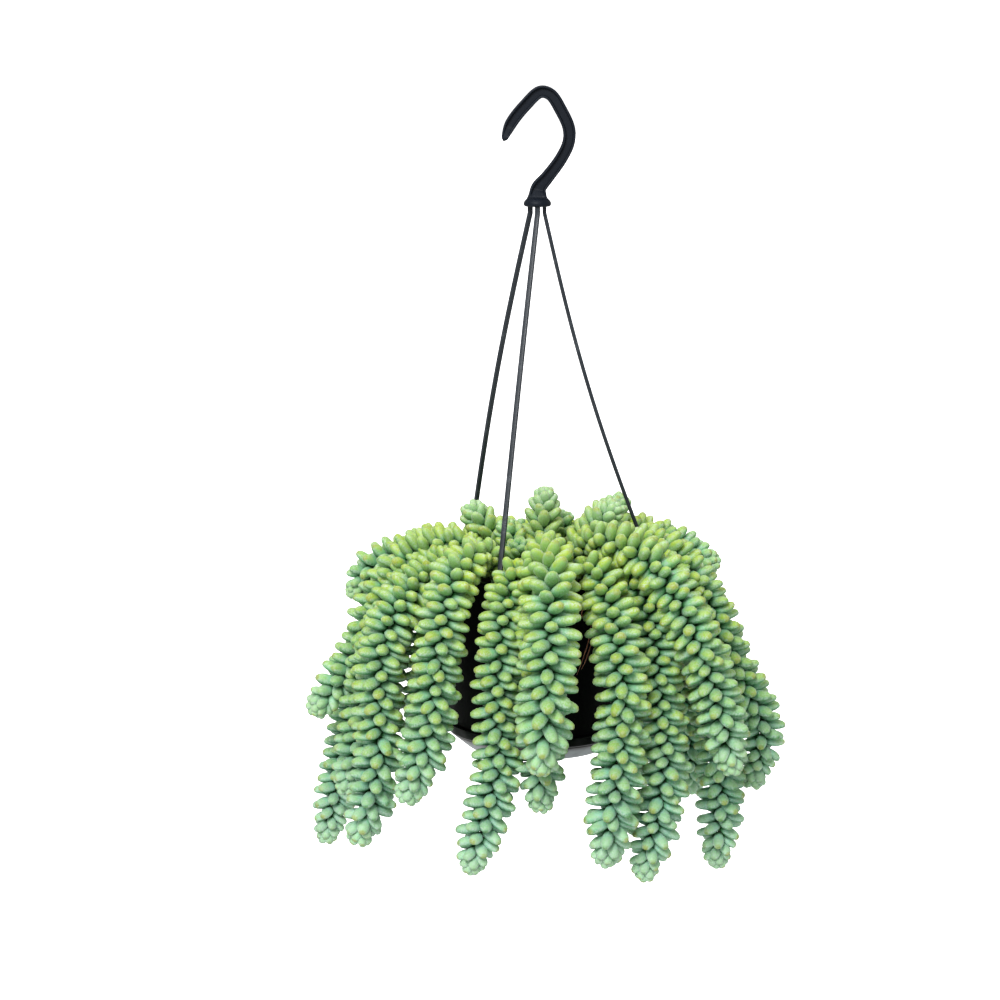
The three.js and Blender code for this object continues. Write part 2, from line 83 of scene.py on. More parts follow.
# Reach of the leaves, root (radius, azimuth), then points (radius, azimuth, height above the rim).
STEMS: dict[str, StemPlan] = {
    "tail_front_hero": (18.5, (28, -84), [(40, -85, 15), (60, -86, 14), (80, -86, 9), (99, -87, -6), (110, -88, -43),
        (104, -90, -102)]),
    "tail_front_under": (16, (46, -97), [(67, -95, 8), (83, -91, -11), (83, -90, -68), (80, -90, -133)]),
    "tail_front_left": (15, (47, -114), [(67, -105, 7), (84, -105, -15), (88, -107, -63), (88, -107, -108),
        (93, -117, -171)]),
    "tail_left_front": (16, (40, -122), [(58, -124, 15), (84, -126, 8), (99, -125, -14), (105, -126, -50),
        (107, -128, -83), (115, -134, -127)]),
    "tail_left_mid": (16, (46, -142), [(66, -145, 7), (86, -147, -2), (105, -145, -17), (115, -145, -41),
        (117, -145, -71), (117, -146, -107), (126, -151, -160)]),
    "tail_left_low": (15, (47, -159), [(67, -159, 7), (88, -161, -9), (102, -162, -39), (111, -163, -78),
        (115, -163, -103), (124, -164, -137)]),
    "tail_left_outer": (15.5, (30, -160), [(46, -165, 13), (68, -167, 12), (88, -167, 0), (102, -168, -24),
        (113, -169, -54), (141, -171, -89)]),
    "tail_left_top": (14, (34, 166), [(46, 168, 10), (66, 169, 8), (86, 169, 2), (106, 169, -6), (119, 170, -25)]),
    "tail_left_back": (14, (47, 155), [(67, 155, 7), (90, 159, -6), (108, 166, -48), (121, 170, -108),
        (137, 172, -185)]),
    "tail_right_front": (17, (46, -66), [(66, -63, 8), (86, -62, -9), (101, -63, -38), (103, -62, -78),
        (101, -64, -118), (96, -66, -164)]),
    "tail_right_mid": (15.5, (46, -46), [(66, -46, 7), (86, -44, -10), (97, -45, -41), (102, -45, -76),
        (104, -44, -106), (94, -48, -179)]),
    "tail_right_over": (16, (24, -50), [(42, -46, 18), (68, -44, 20), (94, -43, 9), (116, -41, -20), (129, -37, -60),
        (138, -33, -111)]),
    "tail_right_low": (15, (46, -27), [(66, -21, 7), (84, -17, -5), (98, -14, -38), (110, -11, -88), (115, -10, -143),
        (113, -10, -188)]),
    "tail_right_outer": (14.5, (36, -18), [(52, -12, 14), (74, -10, 13), (92, -11, 0), (107, -10, -25),
        (121, -7, -61), (139, -4, -101), (134, -4, -140)]),
    "tail_right_top": (14.5, (34, 28), [(46, 30, 13), (68, 30, 12), (94, 24, 4), (119, 17, -8)]),
    "tail_right_back": (14, (47, 15), [(67, 16, 7), (88, 22, -5), (103, 28, -53), (112, 30, -108), (118, 30, -164)]),
    "crown_left": (15, (24, 151), [(31, 152, 11), (48, 156, 33)]),
    "crown_middle": (14, (3, 60), [(5, 64, 18), (9, 63, 46)]),
    "crown_right": (15, (19, -6), [(29, -7, 14), (49, -9, 39)]),
    "crown_front": (12, (14, -135), [(18, -135, 6), (24, -130, 17)]),
    "crown_back": (12, (22, 68), [(28, 66, 9), (36, 60, 27)]),
    "crown_right_outer": (14, (30, 52), [(41, 45, 9), (64, 31, 36)]),
    "crown_far_right": (10, (42, 4), [(48, -2, 8), (55, 1, 24)]),
    "crown_front_left": (12, (26, -112), [(30, -112, 8), (36, -110, 21)]),
    "crown_centre_left": (12, (12, 190), [(16, 186, 11), (22, 182, 28)]),
    "crown_back_left": (12, (21, 112), [(26, 114, 9), (32, 116, 22)]),
}

# The far side's tails follow a rule: (azimuth, how far it hangs below the rim).
BACK_INNER = [(50, 163), (76, 125), (102, 118), (137, 150)]
BACK_OUTER = [(63, 105), (89, 98), (114, 102), (146, 110)]


def back_stems() -> dict[str, StemPlan]:
    """The far side's tails: those near the pot first, and then those that hang further out.

    Returns:
        The tails' plans by their names.
    """
    inner = {f"tail_back_inner_{turn}": (
        14, (47, turn), [(67, turn, 7), (86, turn, -7), (98, turn, -53), (101, turn, -drop)],
    ) for turn, drop in BACK_INNER}
    outer = {f"tail_back_outer_{turn}": (
        13.5, (40, turn), [(67, turn, 7), (88, turn, 1), (109, turn, -28), (120, turn, -drop)],
    ) for turn, drop in BACK_OUTER}
    return inner | outer


def polar(radius: float, azimuth: float, height: float) -> np.ndarray:
    """A point about the pot's axis.

    Args:
        radius: Distance from the axis, in millimetres.
        azimuth: Angle from +X, anticlockwise from above, in degrees.
        height: Height above the rim, in millimetres.

    Returns:
        The point in metres.
    """
    turn = math.radians(azimuth)
    return np.array([radius * math.cos(turn) * MM, radius * math.sin(turn) * MM, RIM + height * MM])


def unit(vectors: np.ndarray) -> np.ndarray:
    """Vectors scaled to length 1 along their last axis."""
    return vectors / np.maximum(np.linalg.norm(vectors, axis=-1, keepdims=True), 1e-12)


def run_along(path: np.ndarray) -> np.ndarray:
    """The distance along a path at each of its points: the sum of the steps before it."""
    return np.concatenate([[0], np.cumsum(np.linalg.norm(np.diff(path, axis=0), axis=1))])


def full_turn(steps: int) -> np.ndarray:
    """Angles of even steps round a circle."""
    return np.linspace(0, 2 * np.pi, steps, endpoint=False)


def centripetal_curve(points: np.ndarray, samples: int) -> np.ndarray:
    """A centripetal Catmull-Rom curve through points.

    Each span is a cubic whose end slopes come from its neighbours, weighted by the square root of the
    distances between the points, and the first and last spans are mirrored past the ends.

    Args:
        points: The points to pass through, (n, 3).
        samples: How many points to return, evenly spaced in the curve's parameter.

    Returns:
        The curve's points, (samples, 3).
    """
    padded = np.vstack([2 * points[0] - points[1], points, 2 * points[-1] - points[-2]])
    place = np.linspace(0, len(points) - 1, samples)
    span = np.minimum(place.astype(int), len(points) - 2)
    w = (place - span)[:, None]
    p0, p1, p2, p3 = (padded[span + k] for k in range(4))
    d0, d1, d2 = (np.linalg.norm(b - a, axis=1, keepdims=True) ** 0.5 for a, b in ((p0, p1), (p1, p2), (p2, p3)))
    slope1 = ((p1 - p0) / d0 - (p2 - p0) / (d0 + d1) + (p2 - p1) / d1) * d1
    slope2 = ((p2 - p1) / d1 - (p3 - p1) / (d1 + d2) + (p3 - p2) / d2) * d1
    return p1 + slope1 * w + (3 * (p2 - p1) - 2 * slope1 - slope2) * w**2 + (2 * (p1 - p2) + slope1 + slope2) * w**3


@dataclass
class Route:
    """A stem's centreline with frames that don't twist, read by the distance along it."""

    STEP: ClassVar[float] = 2.0 * MM

    name: str
    reach: float
    distance: np.ndarray
    centre: np.ndarray
    tangent: np.ndarray
    side: np.ndarray
    other_side: np.ndarray

    @classmethod
    def of_stem(cls, name: str, plan: StemPlan) -> "Route":
        """The route of a stem.

        Args:
            name: The stem's name.
            plan: Its leaves' reach, its root, and the points that it passes through.

        Returns:
            The route, with a sample about every two millimetres.
        """
        reach, (root_radius, root_azimuth), stations = plan
        start = polar(root_radius, root_azimuth, 0) * [1, 1, 0] + UP * (SOIL_TOP + STEM_NECK)
        knots = np.array([start, *[polar(*station) for station in stations]])
        fine = centripetal_curve(knots, 400)
        run = run_along(fine)
        distance = np.linspace(0, run[-1], max(8, math.ceil(run[-1] / cls.STEP)))
        centre = np.stack([np.interp(distance, run, fine[:, k]) for k in range(3)], axis=1)
        tangent = unit(np.gradient(centre, axis=0))
        turn = math.radians(root_azimuth)
        side = np.array([math.sin(turn), -math.cos(turn), 0.0])
        sides = []
        for direction in tangent:
            side = unit(side - direction * (side @ direction))
            sides.append(side)
        sides = np.array(sides)
        return cls(name, reach * MM, distance, centre, tangent, sides, np.cross(tangent, sides))

    @property
    def length(self) -> float:
        """The stem's length above the soil."""
        return float(self.distance[-1])

    def read(self, values: np.ndarray, at: np.ndarray) -> np.ndarray:
        """One of the route's arrays at distances along it.

        Args:
            values: The centre, tangent, side or other_side array.
            at: Distances along the stem.

        Returns:
            The interpolated rows, one for each distance.
        """
        return np.stack([np.interp(at, self.distance, values[:, k]) for k in range(3)], axis=1)


# ------------------------------------------------------------------ surfaces and meshes


@dataclass
class Surface:
    """Points, faces and named values at the points."""

    points: np.ndarray
    faces: list[np.ndarray]
    values: dict[str, np.ndarray] = field(default_factory=dict)
    slots: np.ndarray | None = None

    def joined(self, other: "Surface", slot: int = 0) -> "Surface":
        """This surface and another as one.

        Args:
            other: The surface to add.
            slot: The material slot of the added faces.

        Returns:
            A new surface that holds both.
        """
        shifted = [faces + len(self.points) for faces in other.faces]
        own = self.slots if self.slots is not None else np.zeros(sum(len(f) for f in self.faces), dtype=np.int32)
        added = np.full(sum(len(f) for f in other.faces), slot, dtype=np.int32)
        values = {key: np.concatenate([mine, other.values.get(key, np.zeros(len(other.points)))])
                  for key, mine in self.values.items()}
        points, slots = np.vstack([self.points, other.points]), np.concatenate([own, added])
        return Surface(points, [*self.faces, *shifted], values, slots)


def grid_faces(rows: int, columns: int) -> np.ndarray:
    """The quads of a grid whose columns wrap round.

    They face out when the columns run anticlockwise seen from the last row.

    Args:
        rows: How many rings the grid has.
        columns: How many points are in each ring.

    Returns:
        The quads, as row-major point numbers, (n, 4).
    """
    row, column = np.meshgrid(np.arange(rows - 1), np.arange(columns), indexing="ij")
    a = row * columns + column
    b = row * columns + (column + 1) % columns
    return np.stack([a, b, b + columns, a + columns], axis=-1).reshape(-1, 4)


def end_fans(rows: int, columns: int) -> tuple[np.ndarray, np.ndarray]:
    """The triangles that close such a grid's first and last ring to two poles, numbered after its points.

    Args:
        rows: How many rings the grid has.
        columns: How many points are in each ring.

    Returns:
        The first ring's triangles, and the last one's.
    """
    here, count = np.arange(columns), rows * columns
    after = (here + 1) % columns
    first = np.stack([np.full(columns, count), after, here], axis=1)
    last = np.stack([np.full(columns, count + 1), here, after], axis=1)
    last[:, 1:] += count - columns
    return first, last


def tube(centre: np.ndarray, across: np.ndarray, through: np.ndarray, section: np.ndarray) -> Surface:
    """A closed body with a section carried along a path.

    Point k of ring i is centre[i] + section[i, k, 0] * across[i] + section[i, k, 1] * through[i], and
    each end is closed by a fan to its ring's middle.

    Args:
        centre: The path, (n, 3).
        across: The section's first direction at each point, (n, 3).
        through: The section's second direction at each point, (n, 3).
        section: The section's outline at each point, (n, m, 2).

    Returns:
        The surface.
    """
    rings, count = section.shape[:2]
    points = centre[:, None] + section[..., :1] * across[:, None] + section[..., 1:] * through[:, None]
    ends = points[[0, -1]].mean(axis=1)
    return Surface(np.vstack([points.reshape(-1, 3), ends]), [grid_faces(rings, count), *end_fans(rings, count)])


def round_section(radius: np.ndarray, sides: int) -> np.ndarray:
    """Circles for tube(): one ring of the given radius at each point."""
    angle = full_turn(sides)
    return radius[:, None, None] * np.stack([np.cos(angle), np.sin(angle)], axis=1)[None]


def box_section(width: np.ndarray, thickness: np.ndarray, sides: int = 24, square: float = 5.0) -> np.ndarray:
    """Rounded rectangles for tube(): superellipses, |x / a| ** square + |y / b| ** square = 1.

    Args:
        width: The width at each point of the path.
        thickness: The thickness at each point.
        sides: Points in each outline.
        square: The exponent: 2 is an ellipse, and more is squarer.

    Returns:
        The outlines, (n, sides, 2).
    """
    angle = full_turn(sides)
    x = np.sign(np.cos(angle)) * np.abs(np.cos(angle)) ** (2 / square)
    y = np.sign(np.sin(angle)) * np.abs(np.sin(angle)) ** (2 / square)
    return np.stack([0.5 * width[:, None] * x, 0.5 * thickness[:, None] * y], axis=-1)


def filleted(outline: list[Pair], radius: float, steps: int = 5) -> np.ndarray:
    """An open outline with its inner corners rounded.

    Each corner is replaced by a quadratic arc between the points a radius before and after it, or
    less where its sides are short.

    Args:
        outline: The corners.
        radius: How far from a corner its arc starts and ends.
        steps: Points in each arc.

    Returns:
        The rounded outline, (n, 2).
    """
    corners = np.array(outline, dtype=float)
    rounded = [corners[:1]]
    for before, corner, after in zip(corners, corners[1:], corners[2:]):
        reach_in = min(radius, 0.45 * np.linalg.norm(corner - before))
        reach_out = min(radius, 0.45 * np.linalg.norm(after - corner))
        start = corner + unit(before - corner) * reach_in
        end = corner + unit(after - corner) * reach_out
        t = np.linspace(0, 1, steps)[:, None]
        rounded.append((1 - t) ** 2 * start + 2 * t * (1 - t) * corner + t**2 * end)
    rounded.append(corners[-1:])
    return np.vstack(rounded)


def revolved(outline: np.ndarray, segments: int, centre: Pair = (0.0, 0.0)) -> Surface:
    """An outline of (radius, height) turned about a vertical axis: x = r cos a, y = r sin a, z = h.

    Args:
        outline: The outline, from its bottom on the axis, outwards and round to its end on the axis.
        segments: Steps round the axis.
        centre: Where the axis stands.

    Returns:
        The surface, with its poles still doubled.
    """
    angle = full_turn(segments)
    radius, height = outline[:, :1], outline[:, 1:]
    points = np.stack([centre[0] + radius * np.cos(angle), centre[1] + radius * np.sin(angle),
                       np.broadcast_to(height, (len(outline), segments))], axis=-1)
    return Surface(points.reshape(-1, 3), [grid_faces(len(outline), segments)])


def make_piece(name: str, surface: Surface, materials: list[bpy.types.Material], sharp: float = 180.0,
               merge: bool = False) -> bpy.types.Object:
    """Turns a surface into a smooth-shaded object at the origin.

    Args:
        name: The piece's name.
        surface: Its points, faces and values.
        materials: Its material slots.
        sharp: Edges that bend by more than this many degrees stay sharp.
        merge: Whether doubled points are merged, as a revolved surface needs.

    Returns:
        The object.
    """
    mesh = bpy.data.meshes.new(name)
    mesh.from_pydata(surface.points, [], [face for faces in surface.faces for face in faces.tolist()])
    for key, values in surface.values.items():
        mesh.attributes.new(key, "FLOAT", "POINT").data.foreach_set("value", values.astype(np.float32))
    if surface.slots is not None:
        mesh.polygons.foreach_set("material_index", surface.slots)
    if merge:
        grown = bmesh.new()
        grown.from_mesh(mesh)
        bmesh.ops.remove_doubles(grown, verts=grown.verts, dist=1e-7)
        bmesh.ops.dissolve_degenerate(grown, edges=grown.edges, dist=1e-8)
        grown.to_mesh(mesh)
        grown.free()
    mesh.validate()
    mesh.shade_smooth()
    if sharp < 180:
        mesh.set_sharp_from_angle(angle=math.radians(sharp))
    for material in materials:
        mesh.materials.append(material)
    piece = bpy.data.objects.new(name, mesh)
    bpy.context.scene.collection.objects.link(piece)
    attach(piece, BODY)
    return piece


# ------------------------------------------------------------------ finishes


def srgb(*steps: int) -> Colour:
    """A display colour of 0 to 255 steps as linear RGBA."""
    shares = (step / 255 for step in steps)
    return (*(share / 12.92 if share <= 0.04045 else ((share + 0.055) / 1.055) ** 2.4 for share in shares), 1.0)


class NodeBench:
    """Lays out a material's nodes and joins them by short calls."""

    def __init__(self, name: str) -> None:
        """Starts an empty material with a Principled surface.

        Args:
            name: The material's name.
        """
        self.material = bpy.data.materials.new(name)
        self.material.use_nodes = True
        self.tree = self.material.node_tree
        self.shader = self.tree.nodes["Principled BSDF"]

    def node(self, kind: str, inputs: dict[str | int, Any] | None = None, **settings: Any) -> bpy.types.Node:
        """A new node.

        Args:
            kind: The node's type, without "ShaderNode".
            inputs: Socket name or index to a value or to another node's output socket.
            **settings: Properties of the node.

        Returns:
            The node.
        """
        made = self.tree.nodes.new(f"ShaderNode{kind}")
        for key, value in settings.items():
            setattr(made, key, value)
        for key, value in (inputs or {}).items():
            self.feed(made.inputs[key], value)
        return made

    def feed(self, socket: Socket, value: Any) -> None:
        """Links a socket to an output, or sets its value.

        Args:
            socket: The input socket.
            value: An output socket, or a value.
        """
        if isinstance(value, Socket):
            self.tree.links.new(value, socket)
        else:
            socket.default_value = value

    def place(self) -> Socket:
        """The object's own coordinates."""
        return self.node("TexCoord").outputs["Object"]

    def noise(self, scale: float, detail: float = 3.0, roughness: float = 0.55) -> Socket:
        """Noise on the object's own coordinates, in features per metre."""
        settings = {"Vector": self.place(), "Scale": scale, "Detail": detail, "Roughness": roughness}
        return self.node("TexNoise", settings).outputs["Fac"]

    def value(self, name: str) -> Socket:
        """A named value of the mesh."""
        return self.node("Attribute", attribute_name=name).outputs["Fac"]

    def math(self, operation: str, *terms: Term) -> Socket:
        """Arithmetic on numbers or sockets."""
        return self.node("Math", dict(enumerate(terms)), operation=operation).outputs[0]

    def plus(self, *terms: Term) -> Socket:
        """The sum of numbers or sockets."""
        return reduce(lambda total, term: self.math("ADD", total, term), terms)

    def times(self, *terms: Term) -> Socket:
        """The product of numbers or sockets."""
        return reduce(lambda total, term: self.math("MULTIPLY", total, term), terms)

    def remap(self, value: Term, low: Term, high: Term, to_low: Term = 0.0, to_high: Term = 1.0) -> Socket:
        """A value moved smoothly from one range to another and held inside it."""
        ranges = {"Value": value, "From Min": low, "From Max": high, "To Min": to_low, "To Max": to_high}
        return self.node("MapRange", ranges, interpolation_type="SMOOTHSTEP").outputs["Result"]

    def mix(self, share: Term, first: Tint, second: Tint, blend: str = "MIX") -> Socket:
        """Two colours mixed by a share, through a Mix node's colour sockets."""
        inputs = {0: share, 6: first, 7: second}
        return self.node("Mix", inputs, data_type="RGBA", blend_type=blend, clamp_factor=True).outputs[2]

    def bump(self, height: Term, strength: float, distance: float) -> None:
        """Relief on the surface from a height."""
        relief = self.node("Bump", {"Height": height, "Strength": strength, "Distance": distance})
        self.feed(self.shader.inputs["Normal"], relief.outputs["Normal"])

    def surface(self, **inputs: Any) -> bpy.types.Material:
        """Sets the Principled surface's sockets.

        Args:
            **inputs: Socket names, with _ for a space, and their values or the outputs that feed them.

        Returns:
            The material.
        """
        for key, value in inputs.items():
            self.feed(self.shader.inputs[key.replace("_", " ")], value)
        return self.material


@dataclass(frozen=True)
class LeafFinish:
    """Plump, waxy leaves: blue-green under a pale powder, with an olive patch towards the tip; the finish also holds
    painted shade and a painted sheen.
    """

    # The dark green of the painted shade on the parts of the leaves that face down.
    shade: Colour = srgb(34, 126, 72)
    mint: Colour = srgb(130, 190, 166)
    leafy: Colour = srgb(122, 184, 134)
    # The deep green of the painted shade where the leaves meet the stem.
    gap: Colour = (0.0, 0.26, 0.03, 1.0)
    olive: Colour = srgb(146, 178, 38)
    yellow: Colour = srgb(184, 204, 14)
    spot: Colour = srgb(144, 150, 28)
    young: Colour = srgb(192, 218, 174)
    # Pale powder that also serves as the painted sheen on the edges and the painted highlight on upward faces.
    powder_and_painted_sheen: Colour = srgb(198, 210, 204)
    roughness: float = 0.5

    def material(self) -> bpy.types.Material:
        """The material, on Object coordinates and the mesh's own values."""
        return LeafBench(self).layered()


class LeafBench(NodeBench):
    """Lays out the leaf's material, one layer of colour over another.

    From the mesh it reads along (0 at the leaf's base, 1 at its tip), tone (each leaf's own number),
    age (0 at the stem's root, 1 at its growing end), sun (how far the skin faces up, which places painted
    shade below and a painted highlight on top) and margin (1 at the leaf's edge). The crown mask is 1 on
    old growth over the pot, and low is 1 far below the rim.
    """

    def __init__(self, finish: LeafFinish) -> None:
        """Lays out the values and masks that the layers share.

        Args:
            finish: The leaf's colours.
        """
        super().__init__("leaf_skin")
        self.finish = finish
        self.along, self.tone, self.age = self.value("along"), self.value("tone"), self.value("age")
        self.sun, self.margin = self.value("sun"), self.value("margin")
        self.mottle = self.noise(420)
        self.grain = self.times(self.math("SUBTRACT", self.mottle, 0.5), 0.45)
        self.broad = self.noise(60, detail=2)
        place = self.node("SeparateXYZ", {0: self.place()}).outputs
        self.height = place["Z"]
        squares = self.plus(self.math("POWER", place["X"], 2.0), self.math("POWER", place["Y"], 2.0))
        self.crown = self.times(
            self.remap(self.height, RIM - 45 * MM, RIM - 5 * MM),
            self.remap(self.math("SQRT", squares), 115 * MM, 70 * MM, 0.15, 1.0),
            self.remap(self.age, 0.35, 0.8, 1.0, 0.25),
        )
        self.low = self.remap(self.height, RIM - 20 * MM, RIM - 170 * MM)
        self.colour = self.skin()

    def lay(self, share: Term, tint: Tint, blend: str = "MIX") -> None:
        """Lays a tint over the colour so far, by a share."""
        self.colour = self.mix(share, self.colour, tint, blend)

    def skin(self) -> Socket:
        """The plain skin: leafy green high up and minty low down, with painted shade where it faces down, paler in
        the crown.

        Returns:
            Its colour.
        """
        # Painted shade: dark where the skin faces down, paler in the crown; the lit colour where it faces up.
        shade = self.mix(self.times(self.crown, 0.6), self.finish.shade, self.finish.leafy)
        lit = self.mix(self.low, self.finish.leafy, self.finish.mint)
        return self.mix(self.remap(self.sun, 0.08, 0.6), shade, lit)

    def tone_leaves(self) -> None:
        """Makes each leaf a little darker or lighter than its neighbours."""
        tone = self.remap(self.plus(self.tone, self.times(self.mottle, 0.4)), 0.1, 1.2, 0.84, 1.12)
        self.lay(1.0, self.node("CombineColor", {0: tone, 1: tone, 2: tone}).outputs[0], "MULTIPLY")

    def lay_patch(self) -> None:
        """Lays the olive patch on each leaf's outer, upper part, larger and yellower over the pot."""
        start, full = (self.remap(self.crown, 0.0, 1.0, *ends) for ends in ((0.38, 0.22), (0.76, 0.58)))
        outer = self.remap(self.plus(self.along, self.grain), start, full)
        upper = self.remap(self.plus(self.sun, self.times(self.grain, 0.4)), 0.3, 0.66, 0.2, 1.0)
        strength = self.times(
            self.remap(self.plus(self.tone, self.broad), 0.4, 1.3, 0.65, 1.0),
            self.remap(self.age, 0.5, 1.0, 1.0, 0.5),
            self.remap(self.low, 0.0, 1.0, 1.0, 0.68),
        )
        self.lay(self.times(outer, upper, strength), self.mix(self.crown, self.finish.olive, self.finish.yellow))

    def lay_growth_and_crown_light(self) -> None:
        """Lays pale new growth at the stems' ends and high up, and a painted yellow light in the shaded undersides of
        the crown's leaves.
        """
        high = self.remap(self.height, RIM + 12 * MM, RIM + 45 * MM, 0.0, 0.42)
        self.lay(self.math("MAXIMUM", self.remap(self.age, 0.8, 1.0, 0.0, 0.34), high), self.finish.young)
        # Painted yellow light, strongest where the crown's leaves face down, away from the lamps.
        self.lay(self.times(self.crown, self.remap(self.sun, 0.1, 0.8, 0.38, 0.0)), self.finish.yellow)

    def lay_spots(self) -> None:
        """Lays a brownish spot on the tips of some leaves."""
        tip, some = self.remap(self.along, 0.86, 0.97), self.remap(self.tone, 0.2, 0.9, 0.1, 0.7)
        self.lay(self.times(tip, some), self.finish.spot)

    def lay_powder_and_sheen(self) -> None:
        """Lays the pale powder, thickest along a leaf's edges and rubbed off in places; the edge band is partly a
        painted sheen, and the share on faces that look up is a painted highlight.
        """
        # edge: powder and painted sheen along the margin; face: painted highlight where the skin faces up.
        edge, face = self.remap(self.margin, 0.7, 1.0, 0.18, 0.55), self.remap(self.sun, 0.5, 1.0, 0.0, 0.16)
        rubbed = self.remap(self.noise(900, detail=4), 0.38, 0.6, 0.2, 1.0)
        self.lay(self.times(self.plus(edge, face), rubbed), self.finish.powder_and_painted_sheen)

    def paint_gap_shade(self) -> None:
        """Paints shade: darkens the leaves to deep green where they meet the stem, a little less in the crown."""
        # Painted shade: darkest at the leaf's base, a little lighter in the crown.
        depth = self.times(self.remap(self.along, 0.02, 0.42, 0.02, 1.0), self.remap(self.crown, 0.0, 1.0, 1.0, 0.84))
        self.lay(1.0, self.mix(depth, self.finish.gap, WHITE), "MULTIPLY")

    def layered(self) -> bpy.types.Material:
        """The material with all its layers.

        Returns:
            The material.
        """
        self.tone_leaves()
        self.lay_patch()
        self.lay_growth_and_crown_light()
        self.lay_spots()
        self.lay_powder_and_sheen()
        self.paint_gap_shade()
        self.bump(self.plus(self.noise(700), self.times(self.broad, 2.0)), 0.25, 0.0004)
        rough = self.finish.roughness
        return self.surface(
            Base_Color=self.colour, Roughness=self.remap(self.noise(1300), 0.3, 0.7, rough - 0.08, rough + 0.12),
            Subsurface_Weight=0.12, Subsurface_Radius=(0.5, 1.0, 0.35), Subsurface_Scale=0.003,
            Sheen_Weight=0.12, Sheen_Roughness=0.5, Specular_IOR_Level=0.4,
        )


@dataclass(frozen=True)
class StemFinish:
    """Smooth pale-green stems with darker leaf scars."""

    green: Colour = srgb(128, 160, 120)
    scar: Colour = srgb(96, 92, 62)

    def material(self) -> bpy.types.Material:
        """The material, on Object coordinates.

        Returns:
            The material.
        """
        bench = NodeBench("stem_skin")
        marks = bench.remap(bench.noise(650, detail=4), 0.55, 0.68, 0.0, 0.8)
        bench.bump(bench.noise(800), 0.4, 0.0004)
        colour = bench.mix(marks, self.green, self.scar)
        return bench.surface(Base_Color=colour, Roughness=0.6, Specular_IOR_Level=0.35)


@dataclass(frozen=True)
class PlasticFinish:
    """Moulded plastic with a fine grain, rubbed paler in places."""

    name: str
    base: Colour
    rubbed: Colour
    roughness: float
    specular: float = 0.45

    def material(self) -> bpy.types.Material:
        """The material, on Object coordinates.

        Returns:
            The material.
        """
        bench = NodeBench(self.name)
        grain = bench.noise(1600, detail=2)
        cloud = bench.noise(70, detail=5, roughness=0.65)
        scuffs = bench.times(bench.remap(cloud, 0.52, 0.72, 0.0, 0.6), bench.remap(grain, 0.4, 0.6))
        bench.bump(grain, 0.2, 0.0002)
        gloss = bench.remap(cloud, 0.3, 0.7, self.roughness - 0.06, self.roughness + 0.1)
        colour = bench.mix(scuffs, self.base, self.rubbed)
        return bench.surface(Base_Color=colour, Roughness=gloss, Specular_IOR_Level=self.specular)


class Plastic(Enum):
    """The moulded plastics of the pot and its hanger."""

    HOOK = PlasticFinish("hook_plastic", srgb(12, 21, 32), srgb(30, 42, 56), 0.5, specular=0.3)
    STRAND = PlasticFinish("strand_plastic", srgb(42, 48, 54), srgb(98, 104, 110), 0.4)
    POT = PlasticFinish("pot_plastic", srgb(3, 5, 4), srgb(10, 12, 11), 0.5, specular=0.12)


@dataclass(frozen=True)
class SaucerFinish:
    """Polished black plastic whose sloping underside carries a painted reflection of the pale floor: cloudy grey,
    paler towards its foot.
    """

    rim: Colour = srgb(6, 8, 9)
    # The grey of the painted reflection on the sloping underside.
    under: Colour = srgb(128, 136, 140)
    roughness: float = 0.3
    reflection_from: float = -388.5 * MM
    reflection_to: float = -392.5 * MM
    wander: float = 4.0 * MM

    def material(self) -> bpy.types.Material:
        """The material, by height on Object coordinates.

        Returns:
            The material.
        """
        bench = NodeBench("saucer_plastic")
        height = bench.node("SeparateXYZ", {0: bench.place()}).outputs["Z"]
        cloud = bench.noise(60, detail=5, roughness=0.6)
        level = bench.plus(height, bench.times(bench.math("SUBTRACT", cloud, 0.5), self.wander))
        # Painted reflection: grey below a wandering height on the underside, broken by clouds of plain black.
        colour = bench.mix(bench.remap(level, self.reflection_from, self.reflection_to), self.rim, self.under)
        colour = bench.mix(bench.remap(cloud, 0.45, 0.75, 0.0, 0.35), colour, self.rim)
        bench.bump(bench.noise(1500), 0.1, 0.0002)
        return bench.surface(Base_Color=colour, Roughness=self.roughness, Specular_IOR_Level=0.5)


@dataclass(frozen=True)
class SoilFinish:
    """Dark, damp potting mix with fibres and pale grit."""

    dark: Colour = srgb(34, 25, 19)
    light: Colour = srgb(82, 62, 46)

    def material(self) -> bpy.types.Material:
        """The material, on Object coordinates.

        Returns:
            The material.
        """
        bench = NodeBench("potting_mix")
        crumbs = bench.noise(700, detail=6, roughness=0.7)
        bench.bump(crumbs, 0.9, 0.001)
        colour = bench.mix(bench.remap(crumbs, 0.4, 0.66), self.dark, self.light)
        return bench.surface(Base_Color=colour, Roughness=0.95, Specular_IOR_Level=0.2)


@dataclass(frozen=True)
class FibreFinish:
    """Thin dry aerial roots."""

    brown: Colour = srgb(150, 96, 74)
    pale: Colour = srgb(206, 160, 132)

    def material(self) -> bpy.types.Material:
        """The material, on Object coordinates."""
        bench = NodeBench("dry_root")
        return bench.surface(Base_Color=bench.mix(bench.noise(300), self.brown, self.pale), Roughness=0.8)


# ------------------------------------------------------------------ the hanger


